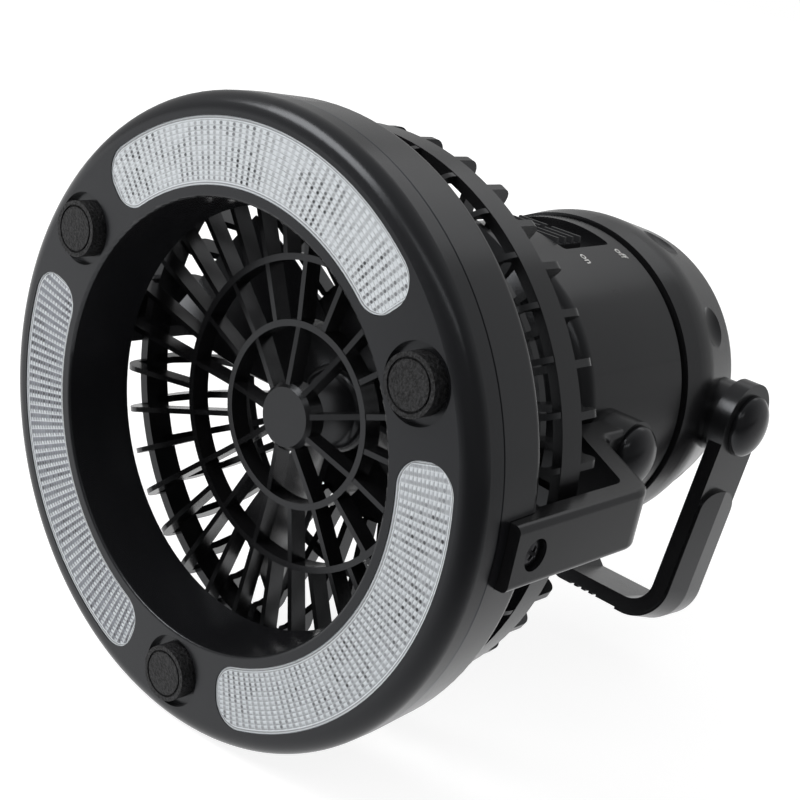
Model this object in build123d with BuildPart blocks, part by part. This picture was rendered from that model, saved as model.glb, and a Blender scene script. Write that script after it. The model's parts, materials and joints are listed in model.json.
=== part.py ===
from build123d import *

import os
from math import cos, degrees, radians, sin, sqrt, tan

os.makedirs("parts", exist_ok=True)

# Camping fan with a light ring, millimetres, +Z up.
# The fan blows towards -Y. "Depth" is measured rearwards (+Y) from the flat front face of the
# light ring, "radius" from the fan axis, which lies level at the height of the ring's radius.
# The head (cage, barrel, battery cap) tilts between two arms that stand on the light ring.

# --- light ring ---------------------------------------------------------------------------
ring_radius = 75.0
ring_depth = 23.8
ring_shoulder = 4.4
ring_rear_rounding = 3.2
ring_draft = 0.8
ring_wall = 2.0
bezel_depth = 8.9
ring_face_width = 23.1
throat_draft = 2.2
sleeve_wall = 1.4
seat_clearance = 0.1
throat_lip = 0.7

lens_inner_margin = 2.5
lens_outer_margin = 5.5
lens_half_angle = 45.7
lens_end_rounding = 6.5
lens_set_back = 0.3
lens_flange = 1.0
lens_flange_thickness = 1.2
lens_angles = (90, 210, 330)

foot_angles = {"foot_right": 30, "foot_left": 150, "foot_bottom": 270}
foot_radius = 6.7
foot_proud = 2.5
foot_cup_radius = 8.7
foot_cup_depth = 1.6
foot_cup_wall = 1.0
foot_rim = 1.0
foot_groove = 0.5

board_depth = 10.0
board_thickness = 1.6
board_clearance = 0.6
post_radius = 3.2
led_radius = 2.5
led_base_radius = 2.9
led_length = 6.4
led_base_thickness = 1.0
leds_per_lens = 6
led_spacing_angle = 15.0

# --- arms and their pivots ------------------------------------------------------------------
tilt_depth = 94.8
swivel_clearance = 0.8
arm_proud = 2.6
arm_thickness = 5.4
arm_width = 15.0
arm_front = 12.4
arm_bend_depth = 61.8
arm_bend_rounding = 9.0
arm_shoulder_depth = 79.6
arm_shoulder_rounding = 6.0
arm_inner_rounding = 5.0
arm_inner_bend = 57.6
arm_throat = 77.0
arm_seat_clearance = 0.15
arm_seat_depth = 5.0
arm_end_rounding = 1.2
arm_edge_rounding = 1.6
eye_radius = 9.2
eye_gap = 1.4
eye_thickness = 7.6
pin_radius = 4.0
pin_clearance = 0.06
dome_height = 4.7
dome_margin = 1.0
dome_step = 0.6
face_clearance = 0.1
arm_screw_depth = 19.8
arm_screw_radius = 1.5
arm_screw_hole = 1.7
arm_screw_head_radius = 3.1
arm_screw_counterbore = 3.7
arm_screw_recess = 2.4
arm_screw_head_height = 1.6

# --- cage -----------------------------------------------------------------------------------
cage_step = 5.7
cage_seam = 39.2
cage_band_end = 44.5
cage_band_thickness = 2.5
grille_rim_width = 2.0
fin_count = 36
hub_disc_radius = 8.2
hub_disc_depth = 22.8
hub_disc_chamfer = 1.0
inner_ring_radius = 22.9
inner_ring_depth = 26.0
outer_ring_radius = 38.4
outer_ring_depth = 27.2
grille_edge_depth = 29.4
grille_edge_rounding = 8.0
grille_ring_width = 1.6
grille_thickness = 5.0
spoke_thickness = 1.35
fin_sink = 0.15
fin_bite = 0.5
rear_fin_thickness = 1.8
rear_fin_count = 38
rear_fin_step = 0.4
rear_tooth_end = 53.4
rear_tooth_height = 5.0
rear_tooth_rounding = 3.6
rear_tooth_root_rounding = 1.5
rear_shoulder_depth = 58.5
rear_shoulder_step = 9.0
rear_shoulder_rounding = 5.0
rear_fin_width = 4.5
rear_mid_ring_radius = 49.5
cage_rear = 62.0
cage_plate_thickness = 3.0

# --- impeller and motor ----------------------------------------------------------------------
impeller_gap = 7.8
impeller_depth = 45.0
blade_count = 4
blade_thickness = 1.5
blade_camber = 0.08
blade_root_chord = 13.0
blade_middle_chord = 30.0
blade_tip_chord = 34.0
blade_pitch = (40, 30, 22)
blade_start_angle = 20
blade_overlap = 1.5
impeller_hub_radius = 11.0
impeller_hub_length = 14.0
impeller_hub_wall = 1.6
impeller_hub_rounding = 3.0
shaft_radius = 1.0
shaft_clearance = 0.06
shaft_collar_radius = 3.0
motor_radius = 12.2
motor_length = 28.0
motor_nose_radius = 3.5
motor_screw_spacing = 16.0
motor_screw_radius = 1.3
motor_screw_head_radius = 2.4
motor_screw_head_height = 1.6
motor_screw_bite = 2.0

# --- barrel ---------------------------------------------------------------------------------
neck_radius = 33.0
neck_end = 79.0
flare_end = 87.0
flare_rounding = 4.5
barrel_front_radius = 43.6
barrel_spread = 0.9
barrel_rear = 129.8
barrel_wall = 2.2
bulkhead_depth = 90.0
bulkhead_thickness = 2.0
spigot_step = 2.7
spigot_length = 10.3
spigot_wall = 2.2
lug_height = 1.6
lug_length = 2.5
lug_set_back = 4.8
lug_half_angle = 6.0
lug_angles = (60, 180, 300)

cell_radius = 16.6
cell_length = 61.5
cell_nub_radius = 4.8
cell_nub_height = 1.5
cell_rounding = 0.8
cell_spacing = 34.4
tube_clearance = 0.4
tube_wall = 1.4
contact_thickness = 0.5
contact_width = 12.0
spring_radius = 6.0
spring_length = 2.0
spring_taper = 20

pocket_front = 103.0
pocket_length = 21.5
pocket_half_width = 13.6
pocket_rounding = 1.5
pocket_depth = 3.0
knob_width = 10.0
knob_length = 11.6
knob_spacing = 11.1
knob_front_gap = 0.4
knob_travel = 7.0
knob_float = 0.2
knob_base = 1.3
knob_height = 3.1
knob_taper = 8
rib_count = 4
rib_width = 1.3
stem_width = 2.6
stem_length = 3.0
stem_clearance = 0.3
stem_depth = 3.7
switch_body_width = 8.6
switch_body_length = 17.0
switch_body_gap = 0.2
switch_body_height = 4.8

# --- battery cap ------------------------------------------------------------------------------
cap_gap = 2.0
cap_overhang = 0.9
cap_front_length = 10.2
cap_spread = 1.0
cap_rear_length = 24.0
cap_taper = 5.4
cap_crown_rounding = 25.0
cap_rear_rounding = 5.0
cap_end_thickness = 2.4
cap_wall = 2.8
spigot_clearance = 0.4
lug_clearance = 0.3
cap_turn = 35.0
dent_set_back = 10.4
dent_radius = 12.0
dent_depth = 1.7
dent_angles = (33, 71, 109, 147, 213, 251, 289, 327)
cap_contact_gap = 0.2

# --- hook -------------------------------------------------------------------------------------
hook_pivot_inset = 11.8
hook_lean = 12.0
hook_width = 21.0
hook_eye_radius = 12.3
hook_eye_gap = 1.8
hook_eye_thickness = 4.9
hook_thickness = 4.2
hook_drop = 61.4
hook_corner_rounding = 11.0
hook_tip_x = 22.0
hook_tip_rise = 7.0
hook_tip_rounding = 4.0
hook_pad_proud = 1.7
hook_pad_width = 19.6
hook_pad_edge = 0.8
hook_pad_top = 25.5
hook_pad_arch = 6.0
hook_pad_end = 40.0
hook_boss_radius = 10.6
hook_dome_radius = 9.0
grip_groove_width = 1.2
grip_groove_depth = 0.6
grip_groove_pitch = 2.6
grip_groove_count = 4
grip_groove_inset = 2.0

# --- sizes that follow ------------------------------------------------------------------------
axis_height = ring_radius
throat_radius = ring_radius - ring_face_width
lens_inner_radius = throat_radius + lens_inner_margin
lens_outer_radius = ring_radius - lens_outer_margin
foot_circle = (lens_inner_radius + lens_outer_radius) / 2
arm_face = ring_radius + arm_proud
cage_radius = ring_radius - cage_step
rear_fin_radius = cage_radius - rear_fin_step
rear_shoulder_radius = rear_fin_radius - rear_shoulder_step
impeller_radius = cage_radius - cage_band_thickness - impeller_gap
cage_plate_radius = neck_radius - fin_sink
barrel_rear_radius = barrel_front_radius + barrel_spread
eye_inner = barrel_front_radius + eye_gap
eye_outer = eye_inner + eye_thickness
spigot_radius = barrel_rear_radius - spigot_step
spigot_end = barrel_rear + spigot_length
barrel_bore = spigot_radius - spigot_wall
lug_depth = barrel_rear + lug_set_back
cell_floor = bulkhead_depth + bulkhead_thickness
cell_front = cell_floor + spring_length
pocket_rear = pocket_front + pocket_length
pocket_floor = barrel_front_radius - pocket_depth
stem_bottom = pocket_floor - stem_depth
switch_body_top = pocket_floor - barrel_wall - switch_body_gap
switch_body_bottom = switch_body_top - switch_body_height
cap_front = barrel_rear + cap_gap
cap_front_radius = barrel_rear_radius + cap_overhang
cap_crown_depth = cap_front + cap_front_length
cap_crown_radius = cap_front_radius + cap_spread
cap_rear = cap_crown_depth + cap_rear_length
cap_rear_radius = cap_crown_radius - cap_taper
dent_centre = cap_crown_depth + dent_set_back
hook_boss_start = cap_rear_radius - cap_wall
hook_hole_floor = cap_rear_radius - cap_wall / 2
hook_pivot_depth = cap_rear - hook_pivot_inset
hook_eye_inner = cap_crown_radius + hook_eye_gap
hook_eye_outer = hook_eye_inner + hook_eye_thickness
front_y = (foot_proud - hook_pivot_depth - hook_eye_radius) / 2
grille_corner = Vector(grille_edge_depth + grille_edge_rounding, cage_radius - grille_edge_rounding)
swivel_radius = sqrt((tilt_depth - grille_corner.X) ** 2 + grille_corner.Y**2)
dish_radius = swivel_radius + grille_edge_rounding + swivel_clearance
arm_inner = arm_face - arm_thickness
cavity_floor = board_depth + board_thickness
cell_x = cell_spacing / 2
knob_start = pocket_front + knob_front_gap
stem_start = knob_start + (knob_length - stem_length) / 2
tube_radius = cell_radius + tube_clearance
hook_inner = hook_eye_outer - hook_thickness

fan_axis = Axis((0, front_y, axis_height), (0, 1, 0))
side_view = Plane(origin=(0, front_y, axis_height), x_dir=(0, 1, 0), z_dir=(1, 0, 0))
top_view = Plane(origin=(0, front_y, axis_height), x_dir=(1, 0, 0), z_dir=(0, 0, 1))


def front_view(depth):
    """Plane square to the fan axis, seen from the front: x to the right, y up, z forwards."""
    return Plane(origin=(0, front_y + depth, axis_height), x_dir=(1, 0, 0), z_dir=(0, -1, 0))


def radial_plane(angle):
    """Plane through the fan axis: x is depth, y is radius towards the given angle."""
    outward = (sin(radians(angle)), 0, -cos(radians(angle)))
    return Plane(origin=(0, front_y, axis_height), x_dir=(0, 1, 0), z_dir=outward)


def cross_view(x, depth):
    """Plane square to X through a pivot at the given depth, looking outwards along +X."""
    return Plane(origin=(x, front_y + depth, axis_height), x_dir=(0, 1, 0), z_dir=(1, 0, 0))


def polar(radius, angle):
    """Point of a front view at a radius and an angle."""
    return (radius * cos(radians(angle)), radius * sin(radians(angle)))


def corners(profile, *points):
    """The corners of a profile that lie nearest to the given points."""
    return [profile.vertices().sort_by_distance(point)[0] for point in points]


def dish_depth(radius, offset=0.0):
    """Depth of the ring's dished back, a sphere about the tilt axis that the cage sweeps inside."""
    return tilt_depth - sqrt((dish_radius + offset) ** 2 - radius**2)


def save(piece, name):
    """Label one finished piece and write its file."""
    piece.part.label = name
    export_step(piece.part, f"parts/{name}.step")


def pin_head(side, start, depth, radius):
    """Head of a pin along X through a pivot at the given depth: a low step, then a domed crown."""
    pivot = Plane(origin=(0, front_y + depth, axis_height), x_dir=(side, 0, 0), z_dir=(0, 0, side))
    with BuildPart() as head:
        with BuildSketch(pivot):
            with BuildLine():
                Polyline((start + dome_height, 0), (start, 0), (start, radius), (start + dome_step, radius))
                EllipticalCenterArc((start + dome_step, 0), dome_height - dome_step, radius, arc_size=90)
            make_face()
        revolve(axis=Axis(pivot.origin, (1, 0, 0)))
    return head.part


def lens_outline(margin):
    """Ring sector of a lens, centred straight up, grown by the margin on every side."""
    half = lens_half_angle + degrees(margin / foot_circle)
    with BuildSketch() as outline:
        with BuildLine():
            outer = CenterArc((0, 0), lens_outer_radius + margin, 90 - half, 2 * half)
            inner = CenterArc((0, 0), lens_inner_radius - margin, 90 - half, 2 * half)
            Line(outer @ 0, inner @ 0)
            Line(outer @ 1, inner @ 1)
        make_face()
        fillet(outline.vertices(), lens_end_rounding + margin)
    return outline.sketch


# ==============================================================================================
# Light ring
# ==============================================================================================

# Front bezel: flat face with three lens windows, a rounded shoulder, an outer wall down to the
# seam and the tapered throat sleeve that the air passes through.
sleeve_end_radius = throat_radius - throat_draft
sleeve_end = dish_depth(sleeve_end_radius)
sleeve_outer = throat_radius + sleeve_wall
sleeve_outer_end = sleeve_end_radius + sleeve_wall

with BuildPart() as front_bezel:
    with BuildSketch(side_view) as profile:
        with BuildLine():
            Polyline(
                (0, throat_radius),
                (0, ring_radius),
                (bezel_depth, ring_radius),
                (bezel_depth, ring_radius - ring_wall),
                (ring_wall, ring_radius - ring_wall),
                (ring_wall, sleeve_outer),
                (dish_depth(sleeve_outer_end), sleeve_outer_end),
                (sleeve_end, sleeve_end_radius),
                (0, throat_radius),
            )
        make_face()
        fillet(corners(profile, (0, ring_radius)), ring_shoulder)
        fillet(corners(profile, (ring_wall, ring_radius - ring_wall)), ring_shoulder - ring_wall)
        fillet(corners(profile, (0, throat_radius)), throat_lip)
    revolve(axis=fan_axis)
    # Cups behind the feet, each with a post that clamps the light board.
    with BuildSketch(front_view(ring_wall)):
        with PolarLocations(foot_circle, 3, start_angle=30):
            Circle(foot_cup_radius + foot_cup_wall)
    extrude(amount=-foot_cup_depth)
    with BuildSketch(front_view(ring_wall)):
        with PolarLocations(foot_circle, 3, start_angle=30):
            Circle(post_radius)
    extrude(amount=ring_wall - board_depth)
    with BuildSketch(front_view(0)):
        with PolarLocations(foot_circle, 3, start_angle=30):
            Circle(foot_cup_radius)
    extrude(amount=-foot_cup_depth, mode=Mode.SUBTRACT)
    with BuildSketch(front_view(0)):
        for angle in lens_angles:
            add(lens_outline(0), rotation=angle - 90)
    extrude(amount=-ring_wall, mode=Mode.SUBTRACT)
save(front_bezel, "front_bezel")

# Ring cover: outer wall behind the seam and a dished back, so that the tilting cage sweeps past.
rim_radius = ring_radius - ring_draft
inner_depth = ring_depth - ring_wall
inner_dish_edge = sqrt((dish_radius + ring_wall) ** 2 - (tilt_depth - inner_depth) ** 2)
seat_edge = sleeve_outer_end + throat_draft * 1.2 * ring_wall / sleeve_end + seat_clearance

with BuildPart() as ring_cover:
    with BuildSketch(side_view) as profile:
        with BuildLine():
            Polyline(
                (dish_depth(seat_edge, ring_wall), seat_edge),
                (ring_depth, seat_edge),
                (ring_depth, rim_radius),
                (bezel_depth, ring_radius),
                (bezel_depth, ring_radius - ring_wall),
                (inner_depth, rim_radius - ring_wall),
                (inner_depth, inner_dish_edge),
            )
            RadiusArc(
                (inner_depth, inner_dish_edge),
                (dish_depth(seat_edge, ring_wall), seat_edge),
                dish_radius + ring_wall,
            )
        make_face()
        fillet(corners(profile, (ring_depth, rim_radius)), ring_rear_rounding)
    revolve(axis=fan_axis)
    # Posts under the light board.
    with BuildSketch(front_view(cavity_floor)):
        with PolarLocations(foot_circle, 3, start_angle=30):
            Circle(post_radius)
    extrude(amount=cavity_floor - inner_depth)
    # Blocks inside the wall that carry the arms.
    for side in (1, -1):
        with BuildSketch(cross_view(side * (arm_inner - arm_seat_depth), 0)):
            with Locations(((arm_front - ring_wall + inner_depth + ring_wall / 2) / 2, 0)):
                Rectangle(inner_depth - arm_front + 1.5 * ring_wall, arm_width + 2 * ring_wall)
        extrude(amount=side * arm_seat_depth)
        with BuildSketch(cross_view(side * arm_inner, 0)):
            with Locations(((arm_front - arm_seat_clearance + 2 * ring_depth) / 2, 0)):
                Rectangle(
                    2 * ring_depth - arm_front + arm_seat_clearance,
                    arm_width + 2 * arm_seat_clearance,
                )
        extrude(amount=side * 2 * arm_thickness, mode=Mode.SUBTRACT)
        with BuildSketch(cross_view(side * arm_inner, arm_screw_depth)):
            Circle(arm_screw_radius)
        extrude(amount=-side * (arm_seat_depth - ring_wall), mode=Mode.SUBTRACT)
    # The dish that the cage sweeps past.
    with Locations((0, front_y + tilt_depth, axis_height)):
        Sphere(dish_radius, mode=Mode.SUBTRACT)
save(ring_cover, "ring_cover")

# Lenses: clear plugs in the windows, each held from behind by a thin flange.
for name, angle in zip(("lens_upper", "lens_left", "lens_right"), lens_angles):
    with BuildPart() as lens:
        with BuildSketch(front_view(lens_set_back)):
            add(lens_outline(0), rotation=angle - 90)
        extrude(amount=lens_set_back - ring_wall)
        with BuildSketch(front_view(ring_wall)):
            add(lens_outline(lens_flange), rotation=angle - 90)
        extrude(amount=-lens_flange_thickness)
    save(lens, name)

# Light board, clamped between the posts of the bezel and of the cover.
with BuildPart() as led_board:
    with BuildSketch(front_view(board_depth)):
        Circle(arm_inner - arm_seat_depth - board_clearance)
        Circle(sleeve_outer + board_clearance, mode=Mode.SUBTRACT)
    extrude(amount=-board_thickness)
save(led_board, "led_board")

# Light-emitting diodes: round bodies with a domed end and a wider base on the board.
with BuildPart() as leds:
    with BuildSketch(side_view):
        with BuildLine():
            Polyline(
                (board_depth, foot_circle),
                (board_depth, foot_circle + led_base_radius),
                (board_depth - led_base_thickness, foot_circle + led_base_radius),
                (board_depth - led_base_thickness, foot_circle + led_radius),
                (board_depth - led_length + led_radius, foot_circle + led_radius),
            )
            CenterArc((board_depth - led_length + led_radius, foot_circle), led_radius, 90, 90)
            Line((board_depth - led_length, foot_circle), (board_depth, foot_circle))
        make_face()
    revolve(axis=Axis((0, front_y, axis_height + foot_circle), (0, 1, 0)))
led_offsets = [(i - (leds_per_lens - 1) / 2) * led_spacing_angle for i in range(leds_per_lens)]
led_angles = [angle + offset for angle in lens_angles for offset in led_offsets]
with BuildPart() as leds_group:
    for angle in led_angles:
        add(leds.part.rotate(fan_axis, 90 - angle))
save(leds_group, "leds")

# Feet: round rubber pads that stand proud of the face, each with a groove inside its rim.
for name, angle in foot_angles.items():
    with BuildPart() as foot:
        with BuildSketch(front_view(foot_cup_depth)):
            with Locations(polar(foot_circle, angle)):
                Circle(foot_radius)
        extrude(amount=foot_cup_depth + foot_proud)
        with BuildSketch(front_view(-foot_proud)):
            with Locations(polar(foot_circle, angle)):
                Circle(foot_radius - foot_rim)
                Circle(foot_radius - foot_rim - foot_groove, mode=Mode.SUBTRACT)
        extrude(amount=-foot_groove, mode=Mode.SUBTRACT)
    save(foot, name)

# Arms: flat straps that leave the ring straight back, turn in behind the cage, widen and end in
# a round eye beside the barrel.
strap_bend = Vector((arm_inner + arm_face) / 2, (arm_inner_bend + arm_bend_depth) / 2)
strap_end = Vector((eye_inner + eye_outer) / 2, (arm_throat + arm_shoulder_depth) / 2)


def on_arm_outside(edge):
    """True for a long edge of an arm that faces away from the fan: it lies outside the middle line."""
    depth = edge.center().Y - front_y
    along = min(max((depth - strap_bend.Y) / (strap_end.Y - strap_bend.Y), 0), 1)
    middle = strap_bend.X + along * (strap_end.X - strap_bend.X)
    inset = arm_edge_rounding / 2
    return arm_front + inset < depth < tilt_depth - inset and abs(edge.center().X) > middle


for name, side in (("arm_right", 1), ("arm_left", -1)):
    with BuildPart() as arm:
        with BuildSketch(top_view) as profile:
            with BuildLine():
                Polyline(
                    (side * arm_inner, arm_front),
                    (side * arm_face, arm_front),
                    (side * arm_face, arm_bend_depth),
                    (side * eye_outer, arm_shoulder_depth),
                    (side * eye_outer, tilt_depth),
                    (side * eye_inner, tilt_depth),
                    (side * eye_inner, arm_throat),
                    (side * arm_inner, arm_inner_bend),
                    (side * arm_inner, arm_front),
                )
            make_face()
            fillet(corners(profile, (side * arm_face, arm_bend_depth)), arm_bend_rounding)
            fillet(corners(profile, (side * eye_outer, arm_shoulder_depth)), arm_shoulder_rounding)
            fillet(corners(profile, (side * arm_inner, arm_inner_bend)), arm_inner_rounding)
            fillet(corners(profile, (side * eye_inner, arm_throat)), arm_end_rounding)
        extrude(amount=arm_width / 2, both=True)
        long_edges = arm.faces().sort_by(Axis.Z)[-1].edges() + arm.faces().sort_by(Axis.Z)[0].edges()
        fillet(long_edges.filter_by(on_arm_outside), arm_edge_rounding)
        with BuildSketch(cross_view(side * eye_inner, tilt_depth)):
            Circle(eye_radius)
        extrude(amount=side * (eye_outer - eye_inner))
        with BuildSketch(cross_view(side * eye_inner, tilt_depth)):
            Circle(pin_radius + pin_clearance)
        extrude(amount=side * (eye_outer - eye_inner), mode=Mode.SUBTRACT)
        with BuildSketch(cross_view(side * arm_inner, arm_screw_depth)):
            Circle(arm_screw_hole)
        extrude(amount=side * arm_thickness, mode=Mode.SUBTRACT)
        with BuildSketch(cross_view(side * arm_face, arm_screw_depth)):
            Circle(arm_screw_counterbore)
        extrude(amount=-side * arm_screw_recess, mode=Mode.SUBTRACT)
    save(arm, name)

# Screws that hold the arms to the ring, sunk in their counterbores.
screw_seat = arm_face - arm_screw_recess
with BuildPart() as arm_screws:
    for side in (1, -1):
        with BuildSketch(cross_view(side * screw_seat, arm_screw_depth)):
            Circle(arm_screw_head_radius)
        extrude(amount=side * arm_screw_head_height)
        with BuildSketch(cross_view(side * screw_seat, arm_screw_depth)):
            Circle(arm_screw_radius)
        extrude(amount=-side * (screw_seat - arm_inner + arm_seat_depth - ring_wall))
save(arm_screws, "arm_screws")

# ==============================================================================================
# Head: cage
# ==============================================================================================

# Front grille: domed, with a hub disc, two rings and three sets of spokes that double in number
# outwards; the outer set turns the corner as fins and ends on a thin rim.
inner_ring_bore = inner_ring_radius - grille_ring_width
outer_ring_bore = outer_ring_radius - grille_ring_width
fin_angles = [i * 360 / fin_count for i in range(fin_count)]
mid_angles = fin_angles[::2]
hub_angles = fin_angles[2::4]
fin_foot = cage_radius - cage_band_thickness + 2 * fin_sink

with BuildPart() as front_grille:
    with BuildSketch(side_view):
        with BuildLine():
            Polyline(
                (hub_disc_depth, 0),
                (hub_disc_depth, hub_disc_radius - hub_disc_chamfer),
                (hub_disc_depth + hub_disc_chamfer, hub_disc_radius),
                (hub_disc_depth + grille_thickness, hub_disc_radius),
                (hub_disc_depth + grille_thickness, 0),
                (hub_disc_depth, 0),
            )
        make_face()
    revolve(axis=fan_axis)
    for depth, radius in ((inner_ring_depth, inner_ring_radius), (outer_ring_depth, outer_ring_radius)):
        with BuildSketch(front_view(depth)):
            Circle(radius)
            Circle(radius - grille_ring_width, mode=Mode.SUBTRACT)
        extrude(amount=-grille_thickness)
    with BuildSketch(front_view(cage_seam - grille_rim_width)):
        Circle(cage_radius)
        Circle(cage_radius - cage_band_thickness, mode=Mode.SUBTRACT)
    extrude(amount=-grille_rim_width)
    # Nine spokes from the hub disc to the inner ring.
    with BuildSketch(*[radial_plane(angle) for angle in hub_angles]):
        Polygon(
            (hub_disc_depth + fin_bite, hub_disc_radius - hub_disc_chamfer),
            (inner_ring_depth + fin_sink, inner_ring_bore + fin_bite),
            (inner_ring_depth + grille_thickness - fin_sink, inner_ring_bore + fin_bite),
            (hub_disc_depth + grille_thickness - fin_sink, hub_disc_radius - hub_disc_chamfer),
            align=None,
        )
    extrude(amount=spoke_thickness / 2, both=True)
    # Eighteen spokes between the two rings.
    with BuildSketch(*[radial_plane(angle) for angle in mid_angles]):
        Polygon(
            (inner_ring_depth + fin_sink, inner_ring_radius - fin_bite),
            (outer_ring_depth + fin_sink, outer_ring_bore + fin_bite),
            (outer_ring_depth + grille_thickness - fin_sink, outer_ring_bore + fin_bite),
            (inner_ring_depth + grille_thickness - fin_sink, inner_ring_radius - fin_bite),
            align=None,
        )
    extrude(amount=spoke_thickness / 2, both=True)
    # Thirty-six fins from the outer ring round the corner to the rim.
    with BuildSketch(*[radial_plane(angle) for angle in fin_angles]) as profile:
        with BuildLine():
            Polyline(
                (outer_ring_depth + fin_sink, outer_ring_radius - fin_bite),
                (grille_edge_depth, cage_radius - fin_sink),
                (cage_seam - fin_sink, cage_radius - fin_sink),
                (cage_seam - fin_sink, fin_foot),
                (grille_edge_depth + grille_thickness, fin_foot),
                (outer_ring_depth + grille_thickness - fin_sink, outer_ring_radius - fin_bite),
                (outer_ring_depth + fin_sink, outer_ring_radius - fin_bite),
            )
        make_face()
        fillet(corners(profile, (grille_edge_depth, cage_radius - fin_sink)), grille_edge_rounding)
    extrude(amount=spoke_thickness / 2, both=True)
save(front_grille, "front_grille")

# Rear cage: a wide band behind the seam and thirty-eight fins. Each stands out behind the band
# as a tooth with a rounded corner, then runs in over a shoulder to the centre plate.
rear_inner = rear_fin_radius - rear_fin_width
rear_fin_angles = [i * 360 / rear_fin_count for i in range(rear_fin_count)]
rear_slope = (cage_rear - rear_shoulder_depth) / (rear_shoulder_radius - cage_plate_radius)
rear_mid_ring_end = cage_rear - (rear_mid_ring_radius - cage_plate_radius) * rear_slope

with BuildPart() as rear_cage:
    with BuildSketch(front_view(cage_seam)):
        Circle(cage_radius)
        Circle(cage_radius - cage_band_thickness, mode=Mode.SUBTRACT)
    extrude(amount=cage_seam - cage_band_end)
    with BuildSketch(front_view(rear_mid_ring_end - fin_bite)):
        Circle(rear_mid_ring_radius)
        Circle(rear_mid_ring_radius - grille_ring_width, mode=Mode.SUBTRACT)
    extrude(amount=rear_fin_width / 2)
    with BuildSketch(front_view(cage_rear - cage_plate_thickness)):
        Circle(cage_plate_radius)
        Circle(motor_nose_radius + shaft_clearance, mode=Mode.SUBTRACT)
        with PolarLocations(motor_screw_spacing / 2, 2):
            Circle(motor_screw_radius, mode=Mode.SUBTRACT)
    extrude(amount=-cage_plate_thickness)
    with BuildSketch(*[radial_plane(angle) for angle in rear_fin_angles]) as profile:
        with BuildLine():
            Polyline(
                (cage_band_end - ring_wall, rear_fin_radius),
                (rear_tooth_end, rear_fin_radius),
                (rear_tooth_end, rear_fin_radius - rear_tooth_height),
                (rear_shoulder_depth, rear_shoulder_radius),
                (cage_rear - fin_sink, cage_plate_radius - fin_bite),
                (cage_rear - rear_fin_width, cage_plate_radius - fin_bite),
                (rear_shoulder_depth - rear_fin_width, rear_shoulder_radius),
                (cage_band_end, rear_inner),
                (cage_band_end - ring_wall, rear_inner),
                (cage_band_end - ring_wall, rear_fin_radius),
            )
        make_face()
        fillet(corners(profile, (rear_tooth_end, rear_fin_radius)), rear_tooth_rounding)
        fillet(
            corners(profile, (rear_tooth_end, rear_fin_radius - rear_tooth_height)),
            rear_tooth_root_rounding,
        )
        fillet(corners(profile, (rear_shoulder_depth, rear_shoulder_radius)), rear_shoulder_rounding)
    extrude(amount=rear_fin_thickness / 2, both=True)
save(rear_cage, "rear_cage")

# ==============================================================================================
# Impeller and motor
# ==============================================================================================

# Blades are lofted through three cambered sections: steep and short at the hub, flat and wide
# near the tip, then trimmed to a round outline.
blade_radii = (
    impeller_hub_radius - blade_overlap,
    (impeller_hub_radius + impeller_radius) / 2,
    impeller_radius + 2 * blade_overlap,
)
blade_chords = (blade_root_chord, blade_middle_chord, blade_tip_chord)
hub_front = impeller_depth - impeller_hub_length / 2

with BuildPart() as blade:
    for radius, chord, pitch in zip(blade_radii, blade_chords, blade_pitch):
        origin = (0, front_y + impeller_depth, axis_height + radius)
        section = Plane(origin=origin, x_dir=(1, 0, 0), z_dir=(0, 0, 1)).rotated((0, 0, pitch))
        with BuildSketch(section):
            with BuildLine():
                rise = chord * blade_camber
                top = SagittaArc((-chord / 2, 0), (chord / 2, 0), rise)
                bottom = SagittaArc((-chord / 2, -blade_thickness), (chord / 2, -blade_thickness), rise)
                Line(top @ 0, bottom @ 0)
                Line(top @ 1, bottom @ 1)
            make_face()
    loft()

with BuildPart() as impeller:
    for i in range(blade_count):
        add(blade.part.rotate(fan_axis, blade_start_angle + i * 360 / blade_count))
    with BuildSketch(front_view(impeller_depth + impeller_hub_length)):
        Circle(impeller_radius)
    extrude(amount=2 * impeller_hub_length, mode=Mode.INTERSECT)
    with BuildSketch(side_view) as profile:
        with BuildLine():
            Polyline(
                (hub_front, 0),
                (hub_front, impeller_hub_radius),
                (hub_front + impeller_hub_length, impeller_hub_radius),
                (hub_front + impeller_hub_length, 0),
                (hub_front, 0),
            )
        make_face()
        fillet(corners(profile, (hub_front, impeller_hub_radius)), impeller_hub_rounding)
    revolve(axis=fan_axis)
    with BuildSketch(front_view(hub_front + impeller_hub_length)):
        Circle(impeller_hub_radius - impeller_hub_wall)
        Circle(shaft_collar_radius, mode=Mode.SUBTRACT)
    extrude(amount=impeller_hub_length - 2 * impeller_hub_wall, mode=Mode.SUBTRACT)
    with BuildSketch(front_view(hub_front + impeller_hub_length)):
        Circle(shaft_radius)
    extrude(amount=impeller_hub_length - impeller_hub_wall, mode=Mode.SUBTRACT)
save(impeller, "impeller")

# Motor shaft, from inside the hub through the centre plate into the motor.
shaft_front = hub_front + impeller_hub_wall
shaft_rear = cage_rear + motor_length - motor_screw_bite
with BuildPart() as motor_shaft:
    with BuildSketch(front_view(shaft_front)):
        Circle(shaft_radius)
    extrude(amount=shaft_front - shaft_rear)
save(motor_shaft, "motor_shaft")

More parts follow.
